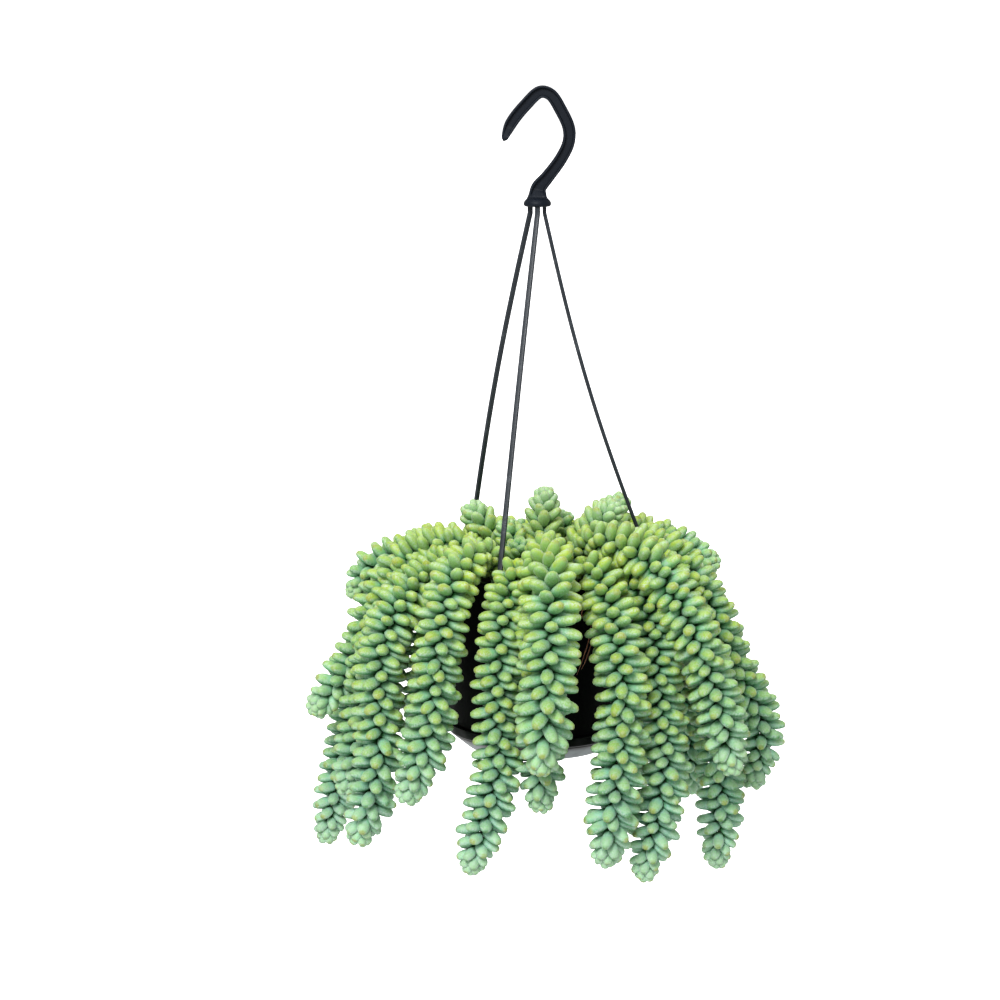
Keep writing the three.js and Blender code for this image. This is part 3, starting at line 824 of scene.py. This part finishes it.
@dataclass
class Hook:
    """The hanger's hook: an I-section band, with a round collar for the strands.

    The midline is given by points (x, z, width of the band) in millimetres, from the tip to the collar.
    """

    depth: float = 8.0 * MM
    web: float = 3.0 * MM
    border: float = 1.3 * MM
    tip: float = 2.5 * MM
    samples: int = 110
    midline: tuple[Triple, ...] = (
        (-21.9, -25.5, 3.4), (-17.5, -15.2, 7.2), (-9, -4.4, 7.4), (0.2, 3.7, 7.4), (6.2, 2.2, 7.4),
        (12.4, -6.8, 7.4), (17.4, -18, 7.4), (17.2, -26.5, 7.4), (12.6, -36.2, 7.4), (4.6, -47, 7.8),
        (-0.6, -53.5, 9.2), (-1.3, -58, 11), (-1.4, -61.5, 14.4),
    )
    collar_top: float = -59.6 * MM
    collar_radius: float = 8.3 * MM

    def section(self, half: np.ndarray, edge: np.ndarray, web: np.ndarray) -> np.ndarray:
        """The I-section at each point of the midline, worked out for a quarter and mirrored.

        Args:
            half: Half the band's width.
            edge: Half its depth at the borders.
            web: Half its depth between the borders.

        Returns:
            The outlines, (n, m, 2).
        """
        border = np.minimum(self.border, half * 0.4)
        quarter = [
            (half, 0 * edge), (half, edge - 0.9 * MM), (half - 0.12 * MM, edge - 0.45 * MM),
            (half - 0.4 * MM, edge - 0.08 * MM), (half - 0.6 * border, edge), (half - border, edge - 0.15 * MM),
            (half - border - 0.25 * MM, 0.5 * (edge + web)), (half - border - 0.4 * MM, web),
            (0.45 * half, web), (0 * half, web),
        ]
        x, y = (np.maximum(np.stack(values, axis=1), 0) for values in zip(*quarter))
        x, y = np.concatenate([x, -x[:, -2::-1]], axis=1), np.concatenate([y, y[:, -2::-1]], axis=1)
        return np.stack([np.concatenate([x, -x[:, 1:-1]], axis=1), np.concatenate([y, -y[:, 1:-1]], axis=1)], axis=-1)

    def band(self) -> Surface:
        """The band: its section is carried along the midline.

        The borders stand at the full depth and the web between them lies lower, except near the ends,
        where it rises to them. Width and depth shrink along a quarter circle to a round end at the tip.

        Returns:
            The surface.
        """
        path = centripetal_curve(np.array([(x, 0, z) for x, z, _ in self.midline]) * MM, self.samples)
        knots = np.array([(i, width, 0) for i, (_, _, width) in enumerate(self.midline)], dtype=float)
        along = unit(np.gradient(path, axis=0))
        across = np.stack([-along[:, 2], np.zeros(len(along)), along[:, 0]], axis=1)
        run = run_along(path)
        rounding = np.sqrt(np.clip(1 - (1 - np.clip(run / self.tip, 0, 1)) ** 2, 0.02, 1))
        sunk = np.clip((run - 3 * MM) / (6 * MM), 0, 1) * np.clip((run[-1] - run - 3 * MM) / (4 * MM), 0, 1)
        half = centripetal_curve(knots, self.samples)[:, 1] * MM / 2 * rounding
        edge = self.depth / 2 * (0.55 + 0.45 * rounding)
        section = self.section(half, edge, edge + (self.web / 2 - edge) * sunk)
        return tube(path, across, np.broadcast_to(np.array([0.0, -1.0, 0.0]), path.shape), section)

    def collar(self) -> Surface:
        """The collar, a bulging disc turned about the strands' axis.

        Returns:
            Its surface.
        """
        r, low, high = self.collar_radius, COLLAR_BOTTOM, self.collar_top
        outline = filleted([
            (0, low), (r - 1.0 * MM, low), (r, low + 0.9 * MM), (r, low + 2.6 * MM), (r - 0.9 * MM, high - 1.2 * MM),
            (r - 2.2 * MM, high), (0, high),
        ], 1.3 * MM)
        return revolved(outline, 64, (COLLAR_X, 0.0))

    def build(self) -> bpy.types.Object:
        """The hook, in place of its plain solid.

        Returns:
            The piece.
        """
        whole = self.band().joined(self.collar())
        piece = make_piece("hook_moulding", whole, [Plastic.HOOK.value.material()], sharp=CREASE, merge=True)
        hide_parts("hanger_hook")
        return piece


@dataclass
class Strand:
    """A strand: a flat bar from the collar to the rim, with a shoulder, neck and barb.

    The azimuth of its slot in the rim and its turn at the collar are in degrees, and its bow is in
    millimetres. The foot gives its width and thickness at heights over the rim, in millimetres.
    """

    name: str
    azimuth: float
    bow: float
    width: float = 3.0 * MM
    thickness: float = 2.2 * MM
    socket_radius: float = 5.0 * MM
    collar_turn: float = 21.0
    slot_radius: float = 67.1 * MM
    shoulder_height: float = 8.0 * MM
    foot: tuple[Triple, ...] = (
        (6.9, 3.0, 2.2), (6.2, 4.6, 2.8), (5.4, 5.6, 3.2), (0.7, 5.6, 3.2), (0.4, 5.4, 3.0), (0.3, 3.2, 2.0),
        (-2.4, 3.2, 2.0), (-2.5, 5.4, 2.3), (-2.8, 5.6, 2.4), (-4.0, 5.5, 2.4), (-5.4, 4.0, 2.1), (-6.1, 3.0, 1.7),
    )

    def __post_init__(self) -> None:
        """Works out its directions, its ends and its bowed slant."""
        turn = math.radians(self.azimuth)
        self.direction = np.array([math.cos(turn), math.sin(turn), 0.0])
        self.around = np.array([-math.sin(turn), math.cos(turn), 0.0])
        socket = turn + math.radians(self.collar_turn)
        reach = self.socket_radius
        self.top = np.array([math.cos(socket) * reach + COLLAR_X, math.sin(socket) * reach, COLLAR_BOTTOM])
        self.slot = self.direction * self.slot_radius
        shoulder = self.slot + UP * (RIM + self.shoulder_height)
        bend = self.top - UP * 4 * MM
        self.facing = unit(np.cross(shoulder - bend, self.around))
        share = np.linspace(0, 0.975, 40)[:, None]
        self.slant = bend + (shoulder - bend) * share + self.facing * self.bow * MM * np.sin(np.pi * share)

    def line(self) -> np.ndarray:
        """Its centreline from the collar to below the rim."""
        ends = [self.slot + UP * (RIM + height) for height in (self.shoulder_height, -10 * MM)]
        return np.vstack([self.top, self.slant[::4], *ends])

    def build(self, material: bpy.types.Material) -> bpy.types.Object:
        """The strand, in place of its plain solid.

        A rounded rectangle is carried down the collar's socket, along the bowed slant and straight down
        through the flange.

        Args:
            material: Its plastic.

        Returns:
            The piece.
        """
        foot = np.array(self.foot) * MM
        head = np.array([self.top + UP * 3 * MM, self.top])
        centre = np.vstack([head, self.slant, self.slot + UP * (RIM + foot[:, :1])])
        plain = len(head) + len(self.slant)
        width = np.concatenate([np.full(plain, self.width), foot[:, 1]])
        thickness = np.concatenate([np.full(plain, self.thickness), foot[:, 2]])
        through = np.repeat(
            [self.direction, self.facing, self.direction], [len(head), len(self.slant), len(foot)], axis=0)
        surface = tube(centre, np.broadcast_to(self.around, centre.shape), through, box_section(width, thickness))
        piece = make_piece(f"strand_{self.name}", surface, [material], sharp=CREASE)
        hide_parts(f"hanger_strand_{self.name}")
        return piece


# ------------------------------------------------------------------ pot, saucer and soil


@dataclass
class Pot:
    """The tapered pot with its flange, its foot bead and its chamfered foot."""

    flange_radius: float = 69.2 * MM
    flange_thickness: float = 2.2 * MM
    top_radius: float = 64.8 * MM
    foot_radius: float = 55.2 * MM
    wall: float = 1.8 * MM
    floor: float = 1.9 * MM
    bead_radius: float = 55.9 * MM
    bead_height: float = -384.5 * MM
    foot_height: float = -386.0 * MM
    bottom: float = -392.5 * MM
    bottom_radius: float = 48.8 * MM

    def build(self) -> bpy.types.Object:
        """The pot, in place of its plain solid: its outline turned about the axis.

        Returns:
            The piece.
        """
        floor, under = self.bottom + self.floor, RIM - self.flange_thickness
        outline = filleted([
            (0, self.bottom), (self.bottom_radius, self.bottom), (self.foot_radius, self.foot_height),
            (self.bead_radius, self.bead_height), (self.foot_radius + 0.2 * MM, self.bead_height + 1.5 * MM),
            (self.top_radius, under), (self.flange_radius, under), (self.flange_radius, RIM),
            (self.top_radius - self.wall, RIM), (self.foot_radius - self.wall, self.foot_height + 0.5 * MM),
            (self.bottom_radius - 1.5 * MM, floor), (0, floor),
        ], 0.8 * MM)
        plastic = Plastic.POT.value.material()
        piece = make_piece("pot_shell", revolved(outline, 144), [plastic], sharp=CREASE, merge=True)
        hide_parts("pot")
        return piece


@dataclass
class Saucer:
    """The drip saucer snapped over the pot's foot."""

    top: float = -382.0 * MM
    lip_radius: float = 57.9 * MM
    slope_top: float = -388.6 * MM
    foot_radius: float = 45.0 * MM
    bottom: float = -398.0 * MM
    floor: float = 1.8 * MM
    inner_radius: float = 56.3 * MM

    def build(self) -> bpy.types.Object:
        """The saucer, in place of its plain solid: its outline turned about the axis.

        Returns:
            The piece.
        """
        floor = self.bottom + self.floor
        outline = filleted([
            (0, self.bottom), (self.foot_radius, self.bottom), (self.foot_radius + 0.8 * MM, self.bottom + 0.6 * MM),
            (self.lip_radius - 1.6 * MM, self.slope_top), (self.lip_radius - 1.3 * MM, self.slope_top + 0.9 * MM),
            (self.lip_radius, self.slope_top + 1.5 * MM), (self.lip_radius, self.top),
            (self.inner_radius - 0.6 * MM, self.top), (self.inner_radius, self.top - 1.5 * MM),
            (self.inner_radius, self.slope_top + 1.6 * MM), (self.foot_radius + 0.2 * MM, floor), (0, floor),
        ], 0.6 * MM)
        plastic = SaucerFinish().material()
        piece = make_piece("saucer_shell", revolved(outline, 144), [plastic], sharp=CREASE, merge=True)
        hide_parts("saucer")
        return piece


@dataclass
class SoilBed:
    """The potting mix: a crumbly top over the filled pot."""

    top_radius: float = 61.6 * MM
    bottom_radius: float = 46.0 * MM
    bottom: float = -389.8 * MM
    crumb: float = 1.4 * MM
    rings: int = 60
    wave_lengths: tuple[float, ...] = (30, 14, 7, 4, 2.6)

    def build(self) -> bpy.types.Object:
        """The soil, in place of its plain solid.

        The top is a disc whose height is a sum of sines of several lengths in millimetres, each in a
        direction of its own and across it, faded to nothing at the wall.

        Returns:
            The piece.
        """
        radius = np.linspace(self.top_radius, 0, self.rings)
        outline = np.vstack([
            [(0, self.bottom), (self.bottom_radius, self.bottom), (self.top_radius, SOIL_TOP - 1 * MM)],
            np.stack([radius, np.full(self.rings, SOIL_TOP)], axis=1),
        ])
        surface = revolved(outline, 128)
        x, y, z = surface.points.T
        rng = np.random.default_rng(SEED)
        waves = np.zeros(len(x))
        for length in self.wave_lengths:
            turn, phase = rng.uniform(0, 2 * np.pi, 2)
            cos, sin, pace = math.cos(turn), math.sin(turn), 2 * np.pi / (length * MM)
            waves += length**0.6 * np.sin((x * cos + y * sin) * pace + phase)
            waves += length**0.6 * np.sin((y * cos - x * sin) * pace + 2 * phase)
        on_top = (z > SOIL_TOP - 0.5 * MM) * np.clip((self.top_radius - np.hypot(x, y)) / (6 * MM), 0, 1)
        surface.points[:, 2] = z + on_top * (waves / np.abs(waves).max() - 0.3) * self.crumb
        piece = make_piece("potting_mix", surface, [SoilFinish().material()], merge=True)
        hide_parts("soil")
        return piece


# ------------------------------------------------------------------ leafy stems


@dataclass
class LeafForm:
    """One leaf of unit length along +X, with its upper face towards +Z.

    The half width at a share u of the length is (u + root) ** belly * (1 - u) ** point, scaled to peak
    at 1, so it is narrow at the stem, fullest past the middle and bluntly pointed.
    """

    sides: int = 8
    shares: tuple[float, ...] = (0.0, 0.03, 0.14, 0.32, 0.52, 0.72, 0.87, 0.96, 1.0)
    belly: float = 0.56
    point: float = 0.42
    root: float = 0.14
    thickness: float = 0.92
    flatness: float = 0.85

    def build(self) -> tuple[np.ndarray, np.ndarray, list[np.ndarray]]:
        """The leaf as a grid of rings between two poles.

        Returns:
            Points, how near each is to the leaf's margin, and faces. Y and Z are in half widths.
        """
        along = np.array(self.shares)
        half = (along + self.root) ** self.belly * (1 - along) ** self.point
        half = (half / half.max())[1:-1, None]
        along = along[1:-1, None]
        angle = full_turn(self.sides)
        ring_y, ring_z = np.cos(angle), np.sin(angle) * self.thickness
        ring_z = np.where(ring_z > 0, ring_z * self.flatness, ring_z)
        rings = np.stack([np.broadcast_to(along, (len(along), self.sides)), half * ring_y, half * ring_z], axis=-1)
        points = np.vstack([rings.reshape(-1, 3), [[0, 0, 0], [1, 0, 0]]])
        margin = np.append(np.tile(np.abs(ring_y), len(along)), [0, 0])
        return points, margin, [grid_faces(len(along), self.sides), *end_fans(len(along), self.sides)]


@dataclass
class Thicket:
    """Every stem's centreline, to keep leaves out of their neighbours, the pot and the strands."""

    routes: list[Route]
    strands: list[np.ndarray]
    pot: Pot
    flange_zone: float = 5.0 * MM
    gap: float = 1.0 * MM
    strand_room: float = 3.6 * MM

    def __post_init__(self) -> None:
        """Gathers the samples of all stems with their owner's number."""
        self.samples = np.vstack([route.centre for route in self.routes])
        self.owners = np.concatenate([np.full(len(route.centre), i) for i, route in enumerate(self.routes)])

    def room(self, points: np.ndarray, owner: int) -> np.ndarray:
        """The distance from points to the nearest centreline of another stem."""
        others = self.samples[self.owners != owner]
        return np.sqrt(((points[:, None] - others[None]) ** 2).sum(axis=-1).min(axis=1))

    def clear(self, points: np.ndarray) -> np.ndarray:
        """Whether points are clear of the pot, the soil and the strands.

        Args:
            points: The points, (n, 3).

        Returns:
            One true or false for each point.
        """
        pot = self.pot
        radius, height = np.hypot(points[:, 0], points[:, 1]), points[:, 2]
        share = np.clip((RIM - height) / (RIM - pot.foot_height), 0, 1)
        wall = pot.top_radius + (pot.foot_radius - pot.top_radius) * share
        outer = np.where(height > RIM - self.flange_zone, pot.flange_radius, wall)
        inside = (radius < pot.top_radius - pot.wall - self.gap) & (height > SOIL_TOP)
        free = (height > RIM + self.gap) | (radius > outer + self.gap) | inside
        for line in self.strands:
            for start, end in zip(line, line[1:]):
                run = end - start
                share = np.clip(((points - start) @ run) / (run @ run), 0, 1)
                free &= np.linalg.norm(points - start - share[:, None] * run, axis=1) > self.strand_room
        return free


@dataclass
class LeafyStem:
    """One stem with its leaves in a golden-angle spiral.

    A leaf leans out from the stem by the open angle, plus the hanging angle where the stem hangs, less
    the closing angle towards the stem's end. In the bud it leans by the bud angle. All are in degrees.
    """

    route: Route
    number: int
    thicket: Thicket
    form: LeafForm = field(default_factory=LeafForm)
    golden: float = math.radians(137.508)
    first_leaf: float = 1.5 * MM
    spacing: float = 1.2 * MM
    crowding: float = 0.26
    usual_length: float = 15.0 * MM
    slimness: float = 0.26
    stem_radius: float = 2.0 * MM
    buried: float = 8.0 * MM
    bud_length: float = 25.0 * MM
    overhang: float = 4.0 * MM
    elbow_room: float = 0.34
    open_angle: float = 70.0
    hanging_angle: float = 16.0
    closing_angle: float = 8.0
    bud_angle: float = 18.0
    lift: float = 0.08
    lying_lift: float = 0.14

    @property
    def bud(self) -> float:
        """How far the bud reaches back from the tip."""
        return min(self.bud_length, 0.3 * self.route.length)

    @property
    def end(self) -> float:
        """Where the last leaf grows, so that the bud ends at the route's end."""
        return self.route.length - self.overhang

    def stations(self) -> np.ndarray:
        """Distances of the leaves along the stem, closer together towards its tip.

        Returns:
            The distances.
        """
        places, place = [], self.first_leaf
        while place < self.end:
            places.append(place)
            left = self.end - place
            place += self.spacing * (self.crowding + (1 - self.crowding) * min(1.0, left / (0.6 * self.bud)))
        return np.array(places)

    def openness(self, at: np.ndarray) -> np.ndarray:
        """How far the leaves have opened: 1 along the stem, falling to 0 in the bud."""
        return np.clip((self.end - at) / self.bud, 0, 1) ** 0.45

    def leaf_length(self, at: np.ndarray) -> np.ndarray:
        """Leaf lengths: shorter at the root, full along the stem, and shrinking in the bud at the tip.

        Args:
            at: Distances of the leaves along the stem.

        Returns:
            A length for each leaf.
        """
        grown = np.clip(0.42 + at / min(90 * MM, 0.5 * self.route.length), 0, 1)
        tapered = 0.42 + 0.58 * np.clip((self.end - at) / self.bud, 0, 1) ** 0.7
        return self.route.reach * 0.98 * grown * tapered

    def frames(self, at: np.ndarray, rng: np.random.Generator) -> tuple[np.ndarray, ...]:
        """Where the leaves start and which way they grow.

        Each turns by the golden angle from the one before. It leans out from the stem by a wide angle,
        wider where the stem hangs and narrow in the bud, and is lifted a little towards the light.

        Args:
            at: Distances of the leaves along the stem.
            rng: The stem's own random numbers.

        Returns:
            The leaves' starts, their directions, and the directions across them and out of their upper faces.
        """
        count = len(at)
        route = self.route
        centre, tangent, side, other = (
            route.read(values, at) for values in (route.centre, route.tangent, route.side, route.other_side))
        turn = np.arange(count) * self.golden + rng.uniform(0, 2 * np.pi) + rng.normal(0, 0.08, count)
        out = np.cos(turn)[:, None] * side + np.sin(turn)[:, None] * other

        openness = self.openness(at)
        hanging = np.clip(-tangent[:, 2], 0, 1)
        wide = self.open_angle + self.hanging_angle * hanging - self.closing_angle * at / route.length
        lean = np.radians(wide * openness + self.bud_angle * (1 - openness) + rng.normal(0, 3.5, count))[:, None]
        lift = (self.lying_lift * (1 - hanging) + self.lift) * openness
        axis = unit(np.sin(lean) * out + np.cos(lean) * tangent + lift[:, None] * UP)
        upper = np.sin(lean) * tangent - np.cos(lean) * out
        upper = unit(upper - (upper * axis).sum(axis=1, keepdims=True) * axis)
        return centre + out * (self.stem_radius * 0.6), axis, np.cross(upper, axis), upper

    def leaves(self, rng: np.random.Generator) -> Surface:
        """All the stem's leaves as one surface.

        A point (x, y, z) of the unit leaf goes to base + x * length * axis + y * half_width * across +
        (z * half_width + x ** 2 * bend) * upper.

        Args:
            rng: The stem's own random numbers.

        Returns:
            The surface, with along, margin, tone, age and sun at its points.
        """
        at = self.stations()
        base, axis, across, upper = self.frames(at, rng)
        length = self.leaf_length(at) * rng.uniform(0.92, 1.06, len(at))
        scale = self.fitted(base, axis, length)
        keep = scale > 0
        base, axis, across, upper, at = (values[keep] for values in (base, axis, across, upper, at))
        length = length[keep] * scale[keep]
        count = len(at)
        plump = rng.uniform(0.93, 1.07, count) * (1 + 0.1 * (1 - self.openness(at)))
        half_width = self.slimness * np.sqrt(length * self.usual_length) * plump
        bend = rng.normal(0.03, 0.05, count) * length

        unit_points, margin, faces = self.form.build()
        x, y, z = unit_points.T
        middle = base[:, None] + (length[:, None] * x)[..., None] * axis[:, None]
        points = (middle + (half_width[:, None] * y)[..., None] * across[:, None]
                  + (half_width[:, None] * z + bend[:, None] * x**2)[..., None] * upper[:, None])
        # How far the skin faces up, kept as sun: the leaf material paints shade where it faces down and a highlight
        # where it faces up.
        facing = unit(points - middle + 0.4 * half_width[:, None, None] * (x[:, None] - 0.5) * axis[:, None])
        per_leaf = len(unit_points)
        offsets = (np.arange(count) * per_leaf)[:, None, None]
        return Surface(
            points.reshape(-1, 3),
            [(face[None] + offsets).reshape(-1, face.shape[1]) for face in faces],
            {
                "along": np.tile(unit_points[:, 0], count),
                "margin": np.tile(margin, count),
                "tone": np.repeat(rng.uniform(0, 1, count), per_leaf),
                "age": np.repeat(np.clip(at / self.route.length, 0, 1), per_leaf),
                "sun": (0.5 + 0.5 * facing[..., 2]).reshape(-1),
            },
        )

    def fitted(self, base: np.ndarray, axis: np.ndarray, length: np.ndarray) -> np.ndarray:
        """How far each leaf has to shrink to fit among its neighbours.

        Args:
            base: Where the leaves start.
            axis: Their directions.
            length: Their full lengths.

        Returns:
            The scale of each leaf, or 0 where it is left out.
        """
        scale = np.zeros(len(base))
        for trial in (1.0, 0.92, 0.84, 0.76, 0.68, 0.6):
            tip = base + axis * (length * trial)[:, None]
            middle = base + axis * (0.6 * length * trial)[:, None]
            fits = self.thicket.room(tip, self.number) > self.elbow_room * length * trial
            fits &= self.thicket.clear(tip) & self.thicket.clear(middle)
            scale = np.where((scale == 0) & fits, trial, scale)
        return scale

    def stem(self) -> Surface:
        """The bare stem, from inside the soil to the growing tip.

        Returns:
            Its surface, thinner towards the tip.
        """
        root = self.route.centre[:1] - UP * (STEM_NECK + self.buried)
        centre, side, other = (np.vstack([first, rest])[:-3] for first, rest in (
            (root, self.route.centre), (self.route.side[:1], self.route.side),
            (self.route.other_side[:1], self.route.other_side)))
        return tube(centre, side, other, round_section(np.linspace(1.0, 0.45, len(centre)) * self.stem_radius, 8))

    def build(self, materials: list[bpy.types.Material]) -> bpy.types.Object:
        """The finished piece, in place of its plain solid.

        Args:
            materials: The leaf's and the stem's materials.

        Returns:
            The piece.
        """
        rng = np.random.default_rng([SEED, self.number])
        piece = make_piece(f"{self.route.name}_leaves", self.leaves(rng).joined(self.stem(), slot=1), materials)
        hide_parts(self.route.name)
        return piece


@dataclass
class AerialRoots:
    """Dry threads that hang from the tails in front of the pot's wall: thin tubes along curves.

    Each thread is given by points (radius, azimuth, height above the rim) in millimetres and degrees.
    """

    threads: tuple[tuple[Triple, ...], ...] = (
        ((68, -62, -6), (69, -66, -12), (68.5, -69, -17), (69, -67, -21), (68, -64, -19)),
        ((69, -70, -9), (68, -67, -14), (69.5, -64, -13), (69, -62, -17)),
        ((68, -71, -18), (69, -68, -20), (68.5, -65, -24), (69, -63, -23)),
        ((67.5, -63, -22), (69, -65, -33), (68.5, -67.5, -43), (67.5, -71, -55)),
        ((68, -62, -31), (68.5, -64, -38), (68, -67, -48), (67, -68.5, -52)),
    )
    radius: float = 0.36 * MM

    def thread(self, places: tuple[Triple, ...]) -> Surface:
        """One thread, tapering to its ends.

        Args:
            places: The points that it passes through.

        Returns:
            Its surface.
        """
        centre = centripetal_curve(np.array([polar(*place) for place in places]), 24)
        tangent = unit(np.gradient(centre, axis=0))
        across = unit(np.cross(tangent, UP))
        taper = self.radius * (0.35 + 0.65 * np.sin(np.linspace(0, np.pi, len(centre))))
        return tube(centre, across, np.cross(across, tangent), round_section(taper, 6))

    def build(self) -> bpy.types.Object:
        """The finished piece, with all threads.

        Returns:
            The piece.
        """
        surface = reduce(Surface.joined, map(self.thread, self.threads))
        piece = make_piece("aerial_roots", surface, [FibreFinish().material()])
        return piece


# ------------------------------------------------------------------ studio


@dataclass
class Studio:
    """Camera, soft light and a plain pale floor. A lamp is given by its name, place, size and power in watts."""

    camera_place: Triple = (-0.024, -1.519, 0.023)
    pitch: float = 10.0
    lens: float = 90.0
    sensor: float = 36.0
    floor_height: float = -0.9
    floor_size: float = 60.0
    ambient: float = 0.56
    lamps: tuple[tuple[str, Triple, float, float], ...] = (
        ("key", (-0.5, -1.6, 1.0), 0.8, 34), ("top", (0.1, 0.4, 1.7), 1.2, 9))
    lit_place: Triple = (0.0, 0.0, -0.3)

    def camera(self) -> None:
        """The camera, looking along +Y and a little down."""
        data = bpy.data.cameras.new("camera")
        data.lens, data.sensor_width = self.lens, self.sensor
        data.clip_start, data.clip_end = 0.05, 200
        camera = bpy.data.objects.new("camera", data)
        camera.location = self.camera_place
        camera.rotation_euler = (math.radians(90 - self.pitch), 0, 0)
        bpy.context.scene.collection.objects.link(camera)
        bpy.context.scene.camera = camera

    def lamp(self, name: str, place: Triple, size: float, power: float) -> None:
        """A square soft lamp that faces the middle of the plant.

        Args:
            name: The lamp's name.
            place: Where it stands.
            size: The length of its sides.
            power: Its power in watts.
        """
        data = bpy.data.lights.new(name, "AREA")
        data.size, data.energy = size, power
        lamp = bpy.data.objects.new(name, data)
        lamp.location = place
        lamp.rotation_mode = "QUATERNION"
        lamp.rotation_quaternion = (Vector(self.lit_place) - Vector(place)).to_track_quat("-Z", "Y")
        bpy.context.scene.collection.objects.link(lamp)

    def floor(self) -> None:
        """The floor far below the hanging pot."""
        half, mesh = self.floor_size / 2, bpy.data.meshes.new("floor")
        corners = [(x * half, y * half, self.floor_height) for x, y in ((-1, -1), (1, -1), (1, 1), (-1, 1))]
        mesh.from_pydata(corners, [], [(0, 1, 2, 3)])
        bench = NodeBench("studio_floor")
        seen = bench.node("LightPath").outputs["Is Camera Ray"]
        mesh.materials.append(bench.surface(
            Base_Color=(0.85, 0.85, 0.85, 1), Roughness=1.0, Specular_IOR_Level=0.0,
            Emission_Color=WHITE, Emission_Strength=seen,
        ))
        floor = bpy.data.objects.new("floor", mesh)
        bpy.context.scene.collection.objects.link(floor)

    def sky(self) -> None:
        """Even light from all round, which the camera sees as plain white."""
        world = bpy.data.worlds.new("studio")
        bpy.context.scene.world = world
        world.use_nodes = True
        nodes, links = world.node_tree.nodes, world.node_tree.links
        strength = nodes.new("ShaderNodeMapRange")
        strength.inputs["To Min"].default_value = self.ambient
        links.new(nodes.new("ShaderNodeLightPath").outputs["Is Camera Ray"], strength.inputs["Value"])
        nodes["Background"].inputs["Color"].default_value = WHITE
        links.new(strength.outputs["Result"], nodes["Background"].inputs["Strength"])

    def build(self) -> None:
        """Everything that isn't part of the plant."""
        self.camera()
        self.floor()
        self.sky()
        for lamp in self.lamps:
            self.lamp(*lamp)
        view = bpy.context.scene.view_settings
        view.view_transform, view.look = "Standard", "Medium High Contrast"


def main() -> None:
    """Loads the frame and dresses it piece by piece."""
    logging.basicConfig(level=logging.INFO, format="%(message)s")
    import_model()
    Studio().build()

    LOG.info("built %s", Hook().build().name)
    strands = [Strand("front", -111, 1.2), Strand("right", 9, -4.8), Strand("back", 129, 4)]
    strand_plastic = Plastic.STRAND.value.material()
    for strand in strands:
        LOG.info("built %s", strand.build(strand_plastic).name)
    pot = Pot()
    for part in (pot, Saucer(), SoilBed()):
        LOG.info("built %s", part.build().name)

    routes = [Route.of_stem(name, plan) for name, plan in (STEMS | back_stems()).items()]
    thicket = Thicket(routes, [strand.line() for strand in strands], pot)
    materials = [LeafFinish().material(), StemFinish().material()]
    for number, route in enumerate(routes):
        piece = LeafyStem(route, number, thicket).build(materials)
        LOG.info("built %s with %d faces", piece.name, len(piece.data.polygons))

    LOG.info("built %s", AerialRoots().build().name)


if __name__ == "__main__":
    main()
